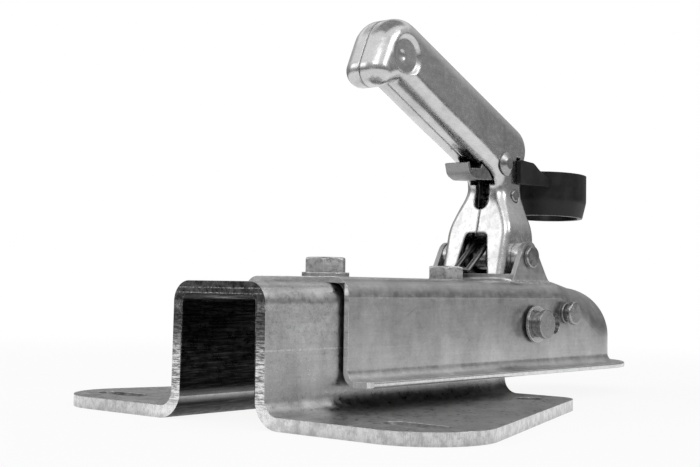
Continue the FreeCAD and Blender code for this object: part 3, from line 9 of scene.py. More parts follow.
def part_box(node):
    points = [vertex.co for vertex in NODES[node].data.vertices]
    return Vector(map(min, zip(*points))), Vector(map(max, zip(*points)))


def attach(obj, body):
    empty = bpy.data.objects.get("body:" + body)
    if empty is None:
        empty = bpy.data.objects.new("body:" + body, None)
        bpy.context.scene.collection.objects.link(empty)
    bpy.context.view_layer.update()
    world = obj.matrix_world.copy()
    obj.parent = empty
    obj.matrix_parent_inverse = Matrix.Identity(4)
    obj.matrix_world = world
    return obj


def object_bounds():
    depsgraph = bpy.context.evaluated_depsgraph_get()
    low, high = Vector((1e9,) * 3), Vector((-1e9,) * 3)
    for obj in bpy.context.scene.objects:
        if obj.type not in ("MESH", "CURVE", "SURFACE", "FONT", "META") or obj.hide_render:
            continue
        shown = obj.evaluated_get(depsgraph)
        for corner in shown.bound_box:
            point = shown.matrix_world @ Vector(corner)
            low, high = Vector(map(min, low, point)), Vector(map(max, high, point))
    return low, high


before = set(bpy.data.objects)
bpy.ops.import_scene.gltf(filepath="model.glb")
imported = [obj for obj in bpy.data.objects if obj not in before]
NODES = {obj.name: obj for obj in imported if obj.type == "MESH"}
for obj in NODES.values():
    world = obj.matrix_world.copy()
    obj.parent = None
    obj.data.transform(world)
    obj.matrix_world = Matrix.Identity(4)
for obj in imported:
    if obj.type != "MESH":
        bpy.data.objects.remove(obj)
CAD_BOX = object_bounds()

bl_info = {
    "name": "Trailer coupling head dressing",
    "version": (1, 0, 0),
    "blender": (4, 5, 0),
    "location": "3D View > Sidebar > Coupling",
    "description": "Finishes, threads and a studio for a pressed ball coupling head",
    "category": "Object",
}

MM = 0.001
PHOTO_WIDE, PHOTO_HIGH = 700, 467
WHITE = (1.0, 1.0, 1.0, 1.0)

# Sizes of the solids that the finishes follow, in millimetres. X runs forward and Z runs up.
PLATE, SHEET = 6.0, 3.0
HAT_HALF, HAT_LEAN = 30.0, 0.7
BODY_HALF = 35.0
HAT_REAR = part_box("mounting_bracket")[0].x / MM
HAT_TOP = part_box("mounting_bracket")[1].z / MM
BODY_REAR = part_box("coupling_body")[0].x / MM
LIP_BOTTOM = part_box("coupling_body")[0].z / MM
PAST_FRONT = 400.0
# How far a mask reaches over the face that it covers.
SKIM = 0.1

# A line on a sheet: its height, half width and strength, its tone as a share of the sheet's, and the place
# along X where it ends. Some are marks on the zinc, some are painted highlights and painted shade lines.
Band = namedtuple("Band", "height half strength lighter end", defaults=(1.9, PAST_FRONT))


def tone_property(name, text, tone):
    return bpy.props.FloatProperty(
        name=name, description=text, default=tone, min=0.0, max=1.0, subtype="FACTOR")


def length_property(name, text, length):
    return bpy.props.FloatProperty(name=name, description=text, default=length, unit="LENGTH")


def power_property(name, text, power):
    return bpy.props.FloatProperty(name=name, description=text, default=power, unit="POWER")


class CouplerFinish(bpy.types.PropertyGroup):
    """Tones of the plated sheets, the fasteners and the plastic."""
    bracket_tone: tone_property("Bracket", "Reflected tone of the bracket's zinc", 0.54)
    body_tone: tone_property("Body", "Reflected tone of the pressed body's zinc", 0.43)
    handle_tone: tone_property("Handle", "Reflected tone of the handle's bright zinc", 0.62)
    trigger_tone: tone_property("Trigger", "Reflected tone of the trigger's zinc", 0.298)
    bolt_tone: tone_property("Bolts", "Reflected tone of bolts, nuts and washers", 0.58)
    pin_tone: tone_property("Pins", "Reflected tone of rivets and pins", 0.36)
    wire_tone: tone_property("Wire", "Reflected tone of the spring wire", 0.22)
    forged_tone: tone_property("Forging", "Reflected tone of the jaw", 0.2)
    plastic_tone: tone_property("Plastic", "Tone of the plug holder", 0.009)
    edge_radius: length_property("Edge radius", "Radius of the worn edges", 0.45 * MM)
    press_radius: length_property("Press radius", "Soft radius of the handle's pressed edges", 1.6 * MM)


class CouplerThreads(bpy.types.PropertyGroup):
    """Thread on the ends of the drawbar bolts."""
    shank: length_property("Shank", "Diameter of the bolt's shank", 12.0 * MM)
    pitch: length_property("Pitch", "Rise of the thread in one turn", 1.75 * MM)
    depth: length_property("Depth", "Crest over the bolt's shank", 0.3 * MM)


class CouplerStudio(bpy.types.PropertyGroup):
    """Floor, lamps and cards round the coupling head."""
    floor_tone: tone_property("Floor", "Tone of the floor", 0.82)
    key_power: power_property("Key lamp", "Power of the large lamp over the left", 6.0)
    fill_power: power_property("Fill lamps", "Power of each lamp at the side", 2.5)
    card_glow: bpy.props.FloatProperty(
        name="Card glow", description="Strength at the centre of the card by the key lamp", default=2.4,
        min=0.0)


class Wiring:
    """Adds nodes to one node tree; a socket given as an input is linked, anything else is set."""

    def __init__(self, tree):
        self.tree = tree

    def put(self, socket, value):
        if isinstance(value, bpy.types.NodeSocket):
            self.tree.links.new(value, socket)
        else:
            socket.default_value = value

    def node(self, kind, inputs=None, **settings):
        """Adds a node, sets its own settings, and puts values or links into its inputs."""
        made = self.tree.nodes.new("ShaderNode" + kind)
        for name, value in settings.items():
            setattr(made, name, value)
        for name, value in (inputs or {}).items():
            self.put(made.inputs[name], value)
        return made

    def math(self, operation, *values, clamp=False):
        made = self.node("Math", operation=operation, use_clamp=clamp)
        for socket, value in zip(made.inputs, values):
            self.put(socket, value)
        return made.outputs[0]

    def times(self, *values):
        """The product of two or more values."""
        product = values[0]
        for value in values[1:]:
            product = self.math("MULTIPLY", product, value)
        return product

    def swing(self, noise, amount):
        """A noise as a swing to both sides of zero, times an amount."""
        return self.times(self.math("SUBTRACT", noise, 0.5), amount)

    def vector(self, operation, first, second=None):
        """One vector operation; second is a socket or three numbers."""
        made = self.node("VectorMath", operation=operation)
        self.put(made.inputs[0], first)
        if second is not None:
            self.put(made.inputs[1], second)
        return made.outputs

    def stretch(self, vector, x, y, z):
        """A place scaled along each axis, so that a noise on it is drawn out."""
        return self.vector("MULTIPLY", vector, (x, y, z))[0]

    def noise(self, vector, scale, detail=2.0, rough=0.5, distort=0.0):
        made = self.node("TexNoise", {
            "Vector": vector, "Scale": scale, "Detail": detail, "Roughness": rough, "Distortion": distort,
        })
        return made.outputs[0]

    def fade(self, value, low, high, to_low=0.0, to_high=1.0):
        """A clamped smooth ramp from to_low at low to to_high at high."""
        made = self.node("MapRange", {
            "Value": value, "From Min": low, "From Max": high, "To Min": to_low, "To Max": to_high,
        }, interpolation_type="SMOOTHSTEP")
        return made.outputs[0]

    def spread(self, noise, low, high):
        """A noise spread from low to high over its usual range."""
        usual_low, usual_high = 0.3, 0.7
        return self.fade(noise, usual_low, usual_high, low, high)

    def blend(self, share, first, second):
        """A number between first, at a share of 0, and second, at 1."""
        made = self.node("Mix", data_type="FLOAT")
        for index, value in ((0, share), (2, first), (3, second)):
            self.put(made.inputs[index], value)
        return made.outputs[0]

    def grey(self, value):
        """A grey colour from one number."""
        return self.node("CombineColor", {"Red": value, "Green": value, "Blue": value}).outputs[0]

    def parts(self, vector):
        """The X, Y and Z of a vector."""
        return self.node("SeparateXYZ", {"Vector": vector}).outputs

    def surface(self, shader):
        """Makes a shader the surface of the material."""
        self.tree.links.new(shader.outputs[0], self.node("OutputMaterial").inputs["Surface"])


def shader_group(name, inputs, outputs, wire):
    """Makes a shader node group once: inputs and outputs map a name to a kind of socket."""
    if name in bpy.data.node_groups:
        return bpy.data.node_groups[name]
    tree = bpy.data.node_groups.new(name, "ShaderNodeTree")
    for label, (kind, value) in inputs.items():
        socket = tree.interface.new_socket(label, in_out="INPUT", socket_type="NodeSocket" + kind)
        if value is not None:
            socket.default_value = value
    for label, kind in outputs.items():
        tree.interface.new_socket(label, in_out="OUTPUT", socket_type="NodeSocket" + kind)
    source = tree.nodes.new("NodeGroupInput").outputs
    sink = tree.nodes.new("NodeGroupOutput")
    for label, socket in wire(Wiring(tree), source).items():
        tree.links.new(socket, sink.inputs[label])
    return tree


def wire_plating(net, given):
    """Cloudy zinc with a rolling direction along X and fine grain."""
    place = given["Place"]
    clouds = net.noise(place, scale=0.045, detail=4.0, rough=0.6, distort=0.4)
    spots = net.noise(place, scale=0.3, detail=3.0, rough=0.6)
    rolled = net.noise(net.stretch(place, 0.05, 1.0, 1.0), scale=0.9, detail=3.0, rough=0.6)
    grain = net.noise(place, scale=1.5, rough=0.7)
    wiped = net.noise(net.stretch(place, 1.0, 1.0, 0.22), scale=0.055, distort=0.6)
    shade = 1.0
    for noise, amount in ((clouds, "Clouds"), (spots, "Spots"), (rolled, "Streaks"), (grain, "Grain"),
                          (wiped, "Smears")):
        shade = net.math("ADD", shade, net.swing(noise, given[amount]))
    height = net.math("ADD", net.times(grain, 0.6), net.times(rolled, 0.4))
    wave = net.noise(place, scale=0.05, detail=1.0)
    return {"Shade": shade, "Height": height, "Dull": spots, "Wave": wave}


def wire_scratches(net, given):
    """Thin broken hairlines in two directions."""
    place = given["Place"]
    line_core, line_edge = 0.0015, 0.006
    masks = []
    for angle, scale in ((0.5, 0.35), (-1.1, 0.5)):
        turned = net.node("VectorRotate", {"Vector": place, "Angle": angle}, rotation_type="Y_AXIS")
        run = net.stretch(turned.outputs[0], 0.04, 0.6, 1.0)
        off_line = net.math("ABSOLUTE", net.swing(net.noise(run, scale, rough=0.6, distort=0.6), 1.0))
        masks.append(net.fade(off_line, line_core, line_edge, 1.0, 0.0))
    where = net.fade(net.noise(place, scale=0.09), 0.46, 0.62)
    return {"Scratch": net.times(net.math("MAXIMUM", *masks), where)}


def wire_edges(net, given):
    """Rounded edges as a normal, and a mask of where they are."""
    rounded = net.node("Bevel", {"Radius": given["Radius"]}, samples=6).outputs[0]
    alike = net.vector("DOT_PRODUCT", rounded, net.node("NewGeometry").outputs["Normal"])["Value"]
    flat_at, edge_at = 0.975, 0.87
    turned = net.fade(alike, flat_at, edge_at)
    chipped = net.fade(net.noise(given["Place"], scale=0.8, detail=3.0, rough=0.7), 0.3, 0.6)
    return {"Edge": net.times(turned, chipped), "Normal": rounded}


def wire_shelter(net, given):
    """How closed in a point is by its own piece: the mask for the shade painted on the insides."""
    near = net.node("AmbientOcclusion", {"Distance": given["Reach"]}, samples=6, only_local=True)
    open_at, shut_at = 0.55, 0.25
    return {"Inside": net.fade(near.outputs["AO"], open_at, shut_at)}


def wire_corner_shade(net, given):
    """Grime and painted shade in corners, where nearby surfaces close in, broken up by a coarse noise."""
    near = net.node("AmbientOcclusion", {"Distance": given["Reach"]}, samples=6)
    open_at, shut_at = 0.85, 0.3
    closed = net.fade(near.outputs["AO"], open_at, shut_at)
    patchy = net.spread(net.noise(given["Place"], scale=0.35, detail=4.0, rough=0.65), 0.45, 1.0)
    return {"Grime and shade": net.times(closed, patchy)}


def wire_cut_face(net, given):
    """Sheared faces of a plate along X: lined on the walls, bright at the bend, darker further up."""
    place = given["Place"]
    x, y, z = net.parts(place)
    normal = net.parts(given["Normal"])
    across = net.math("ABSOLUTE", y)
    end_lean, rim_lean = 0.85, 0.5
    facing_rear = net.math("GREATER_THAN", net.math("ABSOLUTE", normal[0]), end_lean)
    ends = net.times(facing_rear, net.math("LESS_THAN", x, given["Rear"]))
    upright = net.math("LESS_THAN", net.math("ABSOLUTE", normal[2]), rim_lean)
    outside = net.math("GREATER_THAN", across, given["Rim half"])
    rim = net.times(upright, outside, net.math("LESS_THAN", z, given["Rim top"]))
    bend_low, bend_high, line_high = 5.0, 11.0, 15.0
    flat_lines = net.noise(net.stretch(place, 1.0, 1.0, 0.1), scale=2.2, detail=3.0, rough=0.7)
    wall_lines = net.noise(net.stretch(place, 1.0, 0.12, 1.0), scale=1.7, detail=3.0, rough=0.7)
    stains = net.noise(place, scale=0.22, detail=4.0, rough=0.65)
    faint = net.math("ADD", net.times(flat_lines, 0.35), net.times(stains, 0.65))
    on_wall = net.times(net.math("LESS_THAN", z, given["Wall top"]), net.fade(z, bend_low, bend_high))
    lines = net.blend(net.times(ends, on_wall), faint, wall_lines)
    darkest = net.fade(z, bend_low, line_high, 0.6, given["Line tone"])
    fall_low, fall_high = 26.0, 46.0
    fall = net.fade(z, fall_low, fall_high, 1.0, given["Top tone"])
    foot_from, foot_to = 38.0, 54.0
    out_on_foot = net.fade(across, foot_from, foot_to, 1.0, 0.78)
    tone = net.times(net.fade(lines, 0.4, 0.6, darkest, 0.92), fall, out_on_foot)
    return {"Cut": net.math("MAXIMUM", ends, rim), "Lines": lines, "Tone": tone}


def wire_height_band(net, given):
    """A speckled band at one height, used for marks on the zinc and for painted highlights and painted
    shade lines.
    """
    x, _, z = net.parts(given["Place"])
    wander = net.swing(net.noise(given["Place"], scale=0.05), given["Wander"])
    off = net.math("ABSOLUTE", net.math("SUBTRACT", net.math("ADD", z, wander), given["Height"]))
    near = net.math("SUBTRACT", 1.0, net.math("DIVIDE", off, given["Half width"]), clamp=True)
    speckle = net.fade(net.noise(given["Place"], scale=1.3, detail=3.0, rough=0.75), 0.42, 0.62)
    run_out = 18.0
    until = net.fade(x, net.math("SUBTRACT", given["End"], run_out), given["End"], 1.0, 0.0)
    return {"Mark": net.times(net.math("POWER", near, 0.6), speckle, until)}


def wire_inside_faces(net, given):
    """Where shade is painted: the inner faces of a channel along X, up to its roof, and the undersides of
    its bends.
    """
    x, y, z = net.parts(given["Place"])
    across = net.math("ABSOLUTE", y)
    between = net.math("LESS_THAN", across, given["Half"])
    under = net.times(net.math("LESS_THAN", z, given["Roof"]), net.math("LESS_THAN", x, given["Front"]))
    rising = net.fade(z, given["Fade from"], given["Fade to"], 0.55, 1.0)
    bend_top, bend_reach = 5.0, 11.0
    shaded = net.math("MAXIMUM", rising, net.fade(z, 0.0, bend_top, 1.0, 0.0))
    facing_down = net.fade(net.parts(given["Normal"])[2], -0.08, -0.5)
    by_bend = net.math("LESS_THAN", across, net.math("ADD", given["Half"], bend_reach))
    inner = net.times(between, under, shaded)
    return {"Inside": net.math("MAXIMUM", inner, net.times(facing_down, by_bend))}


VECTOR = ("Vector", None)


def number(value):
    return ("Float", value)


def plating_group():
    return shader_group("Plating", {
        "Place": VECTOR, "Clouds": number(0.3), "Spots": number(0.1), "Streaks": number(0.1),
        "Grain": number(0.1), "Smears": number(0.0),
    }, {"Shade": "Float", "Height": "Float", "Dull": "Float", "Wave": "Float"}, wire_plating)


def scratch_group():
    return shader_group("Hairline scratches", {"Place": VECTOR}, {"Scratch": "Float"}, wire_scratches)


def edge_group():
    return shader_group("Worn and highlighted edges", {
        "Place": VECTOR, "Radius": number(0.4 * MM),
    }, {"Edge": "Float", "Normal": "Vector"}, wire_edges)


def shelter_group():
    return shader_group("Painted shade inside", {"Reach": number(50 * MM)}, {"Inside": "Float"}, wire_shelter)


def corner_shade_group():
    return shader_group("Corner grime and painted shade", {
        "Place": VECTOR, "Reach": number(6 * MM),
    }, {"Grime and shade": "Float"}, wire_corner_shade)


def cut_group():
    return shader_group("Sheared faces", {
        "Place": VECTOR, "Normal": VECTOR, "Rear": number(1.0), "Rim half": number(36.0),
        "Rim top": number(6.5), "Wall top": number(55.0), "Line tone": number(0.2),
        "Top tone": number(0.2),
    }, {"Cut": "Float", "Lines": "Float", "Tone": "Float"}, wire_cut_face)


def band_group():
    return shader_group("Band at a height", {
        "Place": VECTOR, "Height": number(30.0), "Half width": number(0.5), "Wander": number(0.4),
        "End": number(PAST_FRONT),
    }, {"Mark": "Float"}, wire_height_band)


def inside_group():
    return shader_group("Inside faces", {
        "Place": VECTOR, "Normal": VECTOR, "Half": number(25.0), "Roof": number(60.0),
        "Front": number(200.0), "Fade from": number(8.0), "Fade to": number(26.0),
    }, {"Inside": "Float"}, wire_inside_faces)


def bare_material(name):
    """A new material with an empty node tree."""
    material = bpy.data.materials.new(name)
    material.use_nodes = True
    material.node_tree.nodes.clear()
    return material


class Finish(Wiring):
    """A material on the Principled shader, with object coordinates in millimetres."""

    def __init__(self, name, metallic=1.0):
        self.material = bare_material(name)
        super().__init__(self.material.node_tree)
        self.skin = self.node("BsdfPrincipled", {"Metallic": metallic})
        self.surface(self.skin)
        spots = self.node("TexCoord").outputs
        self.normal = spots["Normal"]
        self.place = self.stretch(spots["Object"], 1 / MM, 1 / MM, 1 / MM)

    def group(self, tree, **inputs):
        """Places a node group and returns its outputs; a word's underscore stands for a blank."""
        made = self.node("Group", node_tree=tree)
        for label, value in inputs.items():
            self.put(made.inputs[label.replace("_", " ")], value)
        return made.outputs

    def marked(self, mask, amount, shade, marked_shade):
        """The shade, gone over to another where the mask is, by an amount."""
        return self.blend(self.times(mask, amount), shade, marked_shade)

    def finish(self, shade, roughness, height, strength=0.1, depth=0.1 * MM, normal=None):
        """Sets the skin's colour, roughness and bump, and returns the material."""
        self.put(self.skin.inputs["Base Color"], self.grey(shade))
        self.put(self.skin.inputs["Roughness"], roughness)
        bump = self.node("Bump", {"Strength": strength, "Distance": depth, "Height": height})
        if normal is not None:
            self.put(bump.inputs["Normal"], normal)
        self.put(self.skin.inputs["Normal"], bump.outputs[0])
        return self.material


def sheared(coat, cut, shade, roughness, height):
    """Lays a plate's sheared faces over its shade, roughness and height."""
    face = coat.group(cut_group(), Place=coat.place, Normal=coat.normal, **cut)
    cut_roughness, deeper = 0.22, 2.0
    return (coat.blend(face["Cut"], shade, face["Tone"]),
            coat.blend(face["Cut"], roughness, cut_roughness),
            coat.blend(face["Cut"], height, coat.times(face["Lines"], deeper)))


def paint_inside_shade(coat, shade, tone, reach, channel):
    """Paints shade on the insides where the piece closes in on itself; in a channel the painted shade grows
    lighter further up.
    """
    inside = coat.group(shelter_group(), Reach=reach)["Inside"]
    drawn = coat.noise(coat.stretch(coat.place, 0.05, 1.0, 1.0), scale=1.3, detail=3.0, rough=0.75)
    # The painted inside shade, with faint scratches drawn along X.
    streaked_shade = coat.fade(drawn, 0.42, 0.72, tone * 0.6, tone * 4.0)
    if channel:
        hidden = coat.group(inside_group(), Place=coat.place, Normal=coat.normal, **channel)["Inside"]
        inside = coat.math("MAXIMUM", inside, hidden)
        # Inside a channel the painted shade lightens with height.
        dark_below, light_above, lighter = 14.0, 30.0, 5.0
        lit = coat.fade(coat.parts(coat.place)[2], dark_below, light_above, 1.0, lighter)
        streaked_shade = coat.times(streaked_shade, lit)
    return coat.blend(inside, shade, streaked_shade)


def plated(name, tone, radius, rough=0.3, clouds=1.0, spots=0.5, streaks=0.3, grain=0.5, smears=0.0,
           scratched=0.3, edge=0.3, grime_and_shade=0.5, inside_shade_tone=0.014, reach=30 * MM, bump=0.12, wave=0.0,
           cut=None, channel=None, bands=(), painted_height_light=None):
    """Zinc plated steel: clouds and grain, hairlines, worn edges with a painted highlight, grime and
    painted shade in corners, and painted shade on the insides.
    """
    coat = Finish(name)
    plating = coat.group(plating_group(), Place=coat.place, Clouds=clouds, Spots=spots, Streaks=streaks,
                         Grain=grain, Smears=smears)
    scratch = coat.group(scratch_group(), Place=coat.place)["Scratch"]
    edges = coat.group(edge_group(), Place=coat.place, Radius=radius)
    grime_and_shade_mask = coat.group(corner_shade_group(), Place=coat.place)["Grime and shade"]
    lightest, edge_share, scratch_share, grime_and_shade_share = 0.95, 1.9, 0.45, 0.25
    shade = coat.times(plating["Shade"], tone)
    # Painted light: the shade is scaled by a ramp with height.
    if painted_height_light:
        shade = coat.times(shade, coat.fade(coat.parts(coat.place)[2], *painted_height_light))
    roughness = coat.spread(plating["Dull"], rough - 0.06, rough + 0.08)
    height = plating["Height"]
    if cut:
        shade, roughness, height = sheared(coat, cut, shade, roughness, height)
    # Bands at set heights: marks on the zinc, and painted highlights and shade along creases and rounded
    # edges.
    for band in bands:
        mark = coat.group(band_group(), Place=coat.place, Height=band.height, Half_width=band.half,
                          End=band.end)["Mark"]
        shade = coat.marked(mark, band.strength, shade, min(tone * band.lighter, lightest))
    shade = coat.marked(scratch, scratched, shade, tone * scratch_share)
    # Worn edges with a painted highlight: the shade goes lighter where the rounded-edge mask is.
    shade = coat.marked(edges["Edge"], edge, shade, min(tone * edge_share, lightest))
    # Grime and painted shade in corners: darker where nearby surfaces close in; the same mask roughens the
    # zinc below.
    shade = coat.marked(grime_and_shade_mask, grime_and_shade, shade, tone * grime_and_shade_share)
    if inside_shade_tone is not None:
        shade = paint_inside_shade(coat, shade, inside_shade_tone, reach, channel)
    roughness = coat.math("ADD", roughness, coat.times(grime_and_shade_mask, 0.15))
    normal = edges["Normal"]
    if wave:
        normal = coat.node("Bump", {
            "Strength": 1.0, "Distance": wave, "Height": plating["Wave"], "Normal": normal,
        }).outputs[0]
    return coat.finish(shade, roughness, height, strength=bump, normal=normal)


def black_plastic(tone):
    """Moulded black plastic with a fine grain, scuffs and a light rub on its edges."""
    coat = Finish("Black plastic", metallic=0.0)
    coat.skin.inputs["Specular IOR Level"].default_value = 0.35
    cloud = coat.noise(coat.place, scale=0.12, detail=4.0, rough=0.6)
    grain = coat.noise(coat.place, scale=2.2, rough=0.6)
    scratch = coat.group(scratch_group(), Place=coat.place)["Scratch"]
    edges = coat.group(edge_group(), Place=coat.place, Radius=0.5 * MM)
    shade = coat.times(coat.spread(cloud, 0.6, 1.6), tone)
    shade = coat.marked(scratch, 0.5, shade, tone * 3.5)
    shade = coat.marked(edges["Edge"], 0.5, shade, tone * 5.0)
    return coat.finish(shade, coat.spread(cloud, 0.3, 0.46), grain, strength=0.15, normal=edges["Normal"])


def drawn_wire(tone):
    """Spring wire with drawing lines, and painted shade where the coils close in."""
    coat = Finish("Spring wire")
    lines = coat.noise(coat.stretch(coat.place, 1.0, 0.25, 1.0), scale=2.0, detail=3.0, rough=0.7)
    coil_shade = coat.group(corner_shade_group(), Place=coat.place, Reach=25 * MM)["Grime and shade"]
    # Painted shade: the wire goes near black where the coils close in.
    shade = coat.blend(coil_shade, coat.spread(lines, tone * 0.7, tone * 1.2), tone * 0.06)
    return coat.finish(shade, coat.spread(lines, 0.24, 0.36), lines, strength=0.08)


def forged(tone):
    """Forged and blackened steel of the jaw."""
    coat = Finish("Forged steel")
    scale = coat.noise(coat.place, scale=0.25, detail=5.0, rough=0.7)
    pits = coat.noise(coat.place, scale=1.1, detail=3.0, rough=0.6)
    edges = coat.group(edge_group(), Place=coat.place, Radius=0.6 * MM)
    shade = coat.marked(edges["Edge"], 0.5, coat.spread(scale, tone * 0.7, tone * 1.3), tone * 2.2)
    return coat.finish(shade, coat.spread(scale, 0.42, 0.6), pits, strength=0.35, depth=0.3 * MM,
                       normal=edges["Normal"])


def dress(material, *names):
    """Gives CAD nodes one material and no other."""
    for name in names:
        mesh = NODES[name].data
        mesh.materials.clear()
        mesh.materials.append(material)


def new_piece(name, corners, faces, material):
    """A new mesh object in the scene."""
    mesh = bpy.data.meshes.new(name)
    mesh.from_pydata(corners, [], faces)
    mesh.validate()
    mesh.materials.append(material)
    piece = bpy.data.objects.new(name, mesh)
    bpy.context.scene.collection.objects.link(piece)
    return piece


def helix_ridge(name, x, low, high, radius, pitch, depth, material):
    """A ridge wound round an upright shank, flat on its crest and faded at both ends."""
    per_turn, fade_steps = 40, 8
    steps = int(round((high - low) / pitch * per_turn))
    # The root lies under the shank's surface; flank and land are half the width of the foot and the crest.
    root, flank = -0.15 * MM, pitch * 0.42
    land = flank * 0.12
    points, faces = [], []
    for step in range(steps + 1):
        share = step / steps
        crest = depth * min(step / fade_steps, (steps - step) / fade_steps, 1.0)
        turn = share * (high - low) / pitch * math.tau
        z = low + (high - low) * share
        profile = ((root, -flank), (crest, -land), (crest, land), (root, flank))
        for out, rise in profile:
            reach = radius + out
            points.append((x + reach * math.cos(turn), reach * math.sin(turn), z + rise))
        if step:
            base = step * len(profile)
            before = base - len(profile)
            for side, beside in ((0, 1), (1, 2), (2, 3), (3, 0)):
                faces.append((before + side, before + beside, base + beside, base + side))
    last = len(points) - 4
    faces += [(3, 2, 1, 0), (last, last + 1, last + 2, last + 3)]
    return new_piece(name, points, faces, material)


class COUPLER_OT_bracket(bpy.types.Operator):
    """Zinc on the hat-section bracket, with sheared edges and painted shade in its channel"""
    bl_idname = "coupler.bracket"
    bl_label = "Bracket"

    def execute(self, context):
        looks = context.scene.coupler_finish
        # The sheared rear end, the height of the top corners, the wall to the foot's rim, and the line of
        # painted shade that the channel leaves on the sheared end.
        rear_zone, corner_rise, foot_bend, channel_shade_line = 25.6, 9.6, 6.0, 0.2
        dash_end = HAT_REAR + 15.0
        cut = {"Rear": HAT_REAR + rear_zone, "Rim_half": HAT_HALF + foot_bend, "Rim_top": PLATE + SKIM,
               "Wall_top": HAT_TOP - corner_rise, "Top_tone": 0.2}
        # Shade is painted on the channel's inner faces and under its bends.
        channel = {"Half": HAT_HALF - PLATE + HAT_LEAN + channel_shade_line, "Roof": HAT_TOP - PLATE + channel_shade_line,
                   "Fade_from": 6.0, "Fade_to": 16.0}
        # Lighter speckled bands at 13.0 and 54.0, a press mark at 34.7, a painted highlight along the
        # roof's inner edge at 60.0, and light dashes on the sheared top at 62.4.
        bands = (
            Band(height=13.0, half=3.0, strength=0.45),
            Band(height=34.7, half=0.5, strength=0.8),
            Band(height=54.0, half=2.5, strength=0.4),
            Band(height=60.0, half=0.3, strength=0.9, end=dash_end),
            Band(height=62.4, half=0.35, strength=0.8, end=dash_end),
        )
        zinc = plated("Bracket zinc", looks.bracket_tone, looks.edge_radius, rough=0.32, clouds=1.2,
                      spots=0.8, grain=0.7, smears=0.3, wave=0.1 * MM, cut=cut, channel=channel,
                      bands=bands)
        dress(zinc, "mounting_bracket")
        return {"FINISHED"}


class COUPLER_OT_body(bpy.types.Operator):
    """Satin zinc on the pressed body and the ball cup"""
    bl_idname = "coupler.body"
    bl_label = "Pressed body"

    def execute(self, context):
        looks = context.scene.coupler_finish
        # The sheared rear end, the height of the top corners, and the wall to the lip's rim.
        rear_zone, corner_rise, lip_bend = 0.7, 4.6, 8.0
        crease_end = 222.0
        cut = {"Rear": BODY_REAR + rear_zone, "Rim_half": BODY_HALF + lip_bend,
               "Rim_top": LIP_BOTTOM + SHEET + SKIM, "Wall_top": HAT_TOP + SHEET - corner_rise,
               "Line_tone": 0.75, "Top_tone": 1.0}
        # Shade is painted on the inner faces of the body's channel and under its bends.
        channel = {"Half": BODY_HALF - SHEET + SKIM, "Roof": HAT_TOP - SKIM, "Fade_from": 10.0,
                   "Fade_to": 24.0}
        # Painted crease: a line of painted shade at 59.2 above a line of painted highlight at 58.4, ending
        # at crease_end; and a painted highlight along the rounded top corner at 68.4.
        bands = (
            Band(height=59.2, half=0.4, strength=0.7, lighter=0.5, end=crease_end),
            Band(height=58.4, half=0.4, strength=0.5, lighter=1.6, end=crease_end),
            Band(height=68.4, half=1.2, strength=0.9, lighter=2.2),
        )
        # Painted light: the body's side is lighter low down, fading to near plain above.
        painted_light_low, painted_light_high, light_below, plain_above = 20.0, 48.0, 1.36, 0.97
        zinc = plated("Body zinc", looks.body_tone, looks.edge_radius, rough=0.36, clouds=0.8, smears=0.7,
                      bump=0.07, wave=0.06 * MM, painted_height_light=(painted_light_low, painted_light_high, light_below, plain_above),
                      cut=cut, channel=channel, bands=bands)
        dress(zinc, "coupling_body")
        cup = plated("Cup zinc", looks.body_tone, looks.edge_radius, rough=0.34, inside_shade_tone=None)
        dress(cup, "ball_cup")
        return {"FINISHED"}


class COUPLER_OT_handle(bpy.types.Operator):
    """Bright zinc on the handle's halves and its trigger"""
    bl_idname = "coupler.handle"
    bl_label = "Handle"

    def execute(self, context):
        looks = context.scene.coupler_finish
        # Shade is painted on the handle's insides, reaching 22 mm; its edges get no painted highlight.
        bright = plated("Handle zinc", looks.handle_tone, looks.press_radius, rough=0.22, clouds=0.6,
                        spots=0.35, grain=0.15, smears=0.3, scratched=0.2, edge=0.0, reach=22 * MM,
                        bump=0.02, wave=0.4 * MM)
        dress(bright, "handle_near_half", "handle_far_half")
        catch = plated("Trigger zinc", looks.trigger_tone, looks.edge_radius * 2, clouds=0.5, spots=0.4,
                       grain=0.4, edge=0.6, inside_shade_tone=None)
        dress(catch, "trigger")
        return {"FINISHED"}


class COUPLER_OT_fasteners(bpy.types.Operator):
    """Zinc on bolts, nuts, washers, pins and rivets"""
    bl_idname = "coupler.fasteners"
    bl_label = "Bolts and pins"

    def execute(self, context):
        looks = context.scene.coupler_finish
        bolts = plated("Bolt zinc", looks.bolt_tone, looks.edge_radius * 2.6, clouds=0.5, spots=1.0,
                       grain=1.0, edge=0.8, inside_shade_tone=None, bump=0.2)
        dress(bolts, *(name for name in NODES if name.startswith(("rear_", "front_"))))
        pins = plated("Pin zinc", looks.pin_tone, looks.edge_radius, rough=0.26, clouds=0.5, spots=0.8,
                      grain=0.8, inside_shade_tone=None, bump=0.16)
        dress(pins, *(name for name in NODES if name.endswith(("pin", "rivet", "bush"))))
        rings = plated("Washer zinc", looks.handle_tone, looks.edge_radius, rough=0.24, spots=0.6,
                       grain=0.6, edge=0.8, inside_shade_tone=None)
        dress(rings, *(name for name in NODES if name.startswith(("slot_washer", "pivot_spacer"))))
        return {"FINISHED"}


class COUPLER_OT_working_parts(bpy.types.Operator):
    """Wire on the springs and forged steel on the jaw"""
    bl_idname = "coupler.working_parts"
    bl_label = "Springs and jaw"

    def execute(self, context):
        looks = context.scene.coupler_finish
        dress(drawn_wire(looks.wire_tone), "handle_spring", "trigger_spring")
        dress(forged(looks.forged_tone), "locking_jaw")
        return {"FINISHED"}


class COUPLER_OT_plug_holder(bpy.types.Operator):
    """Black plastic on the plug holder"""
    bl_idname = "coupler.plug_holder"
    bl_label = "Plug holder"

    def execute(self, context):
        dress(black_plastic(context.scene.coupler_finish.plastic_tone), "plug_holder")
        return {"FINISHED"}


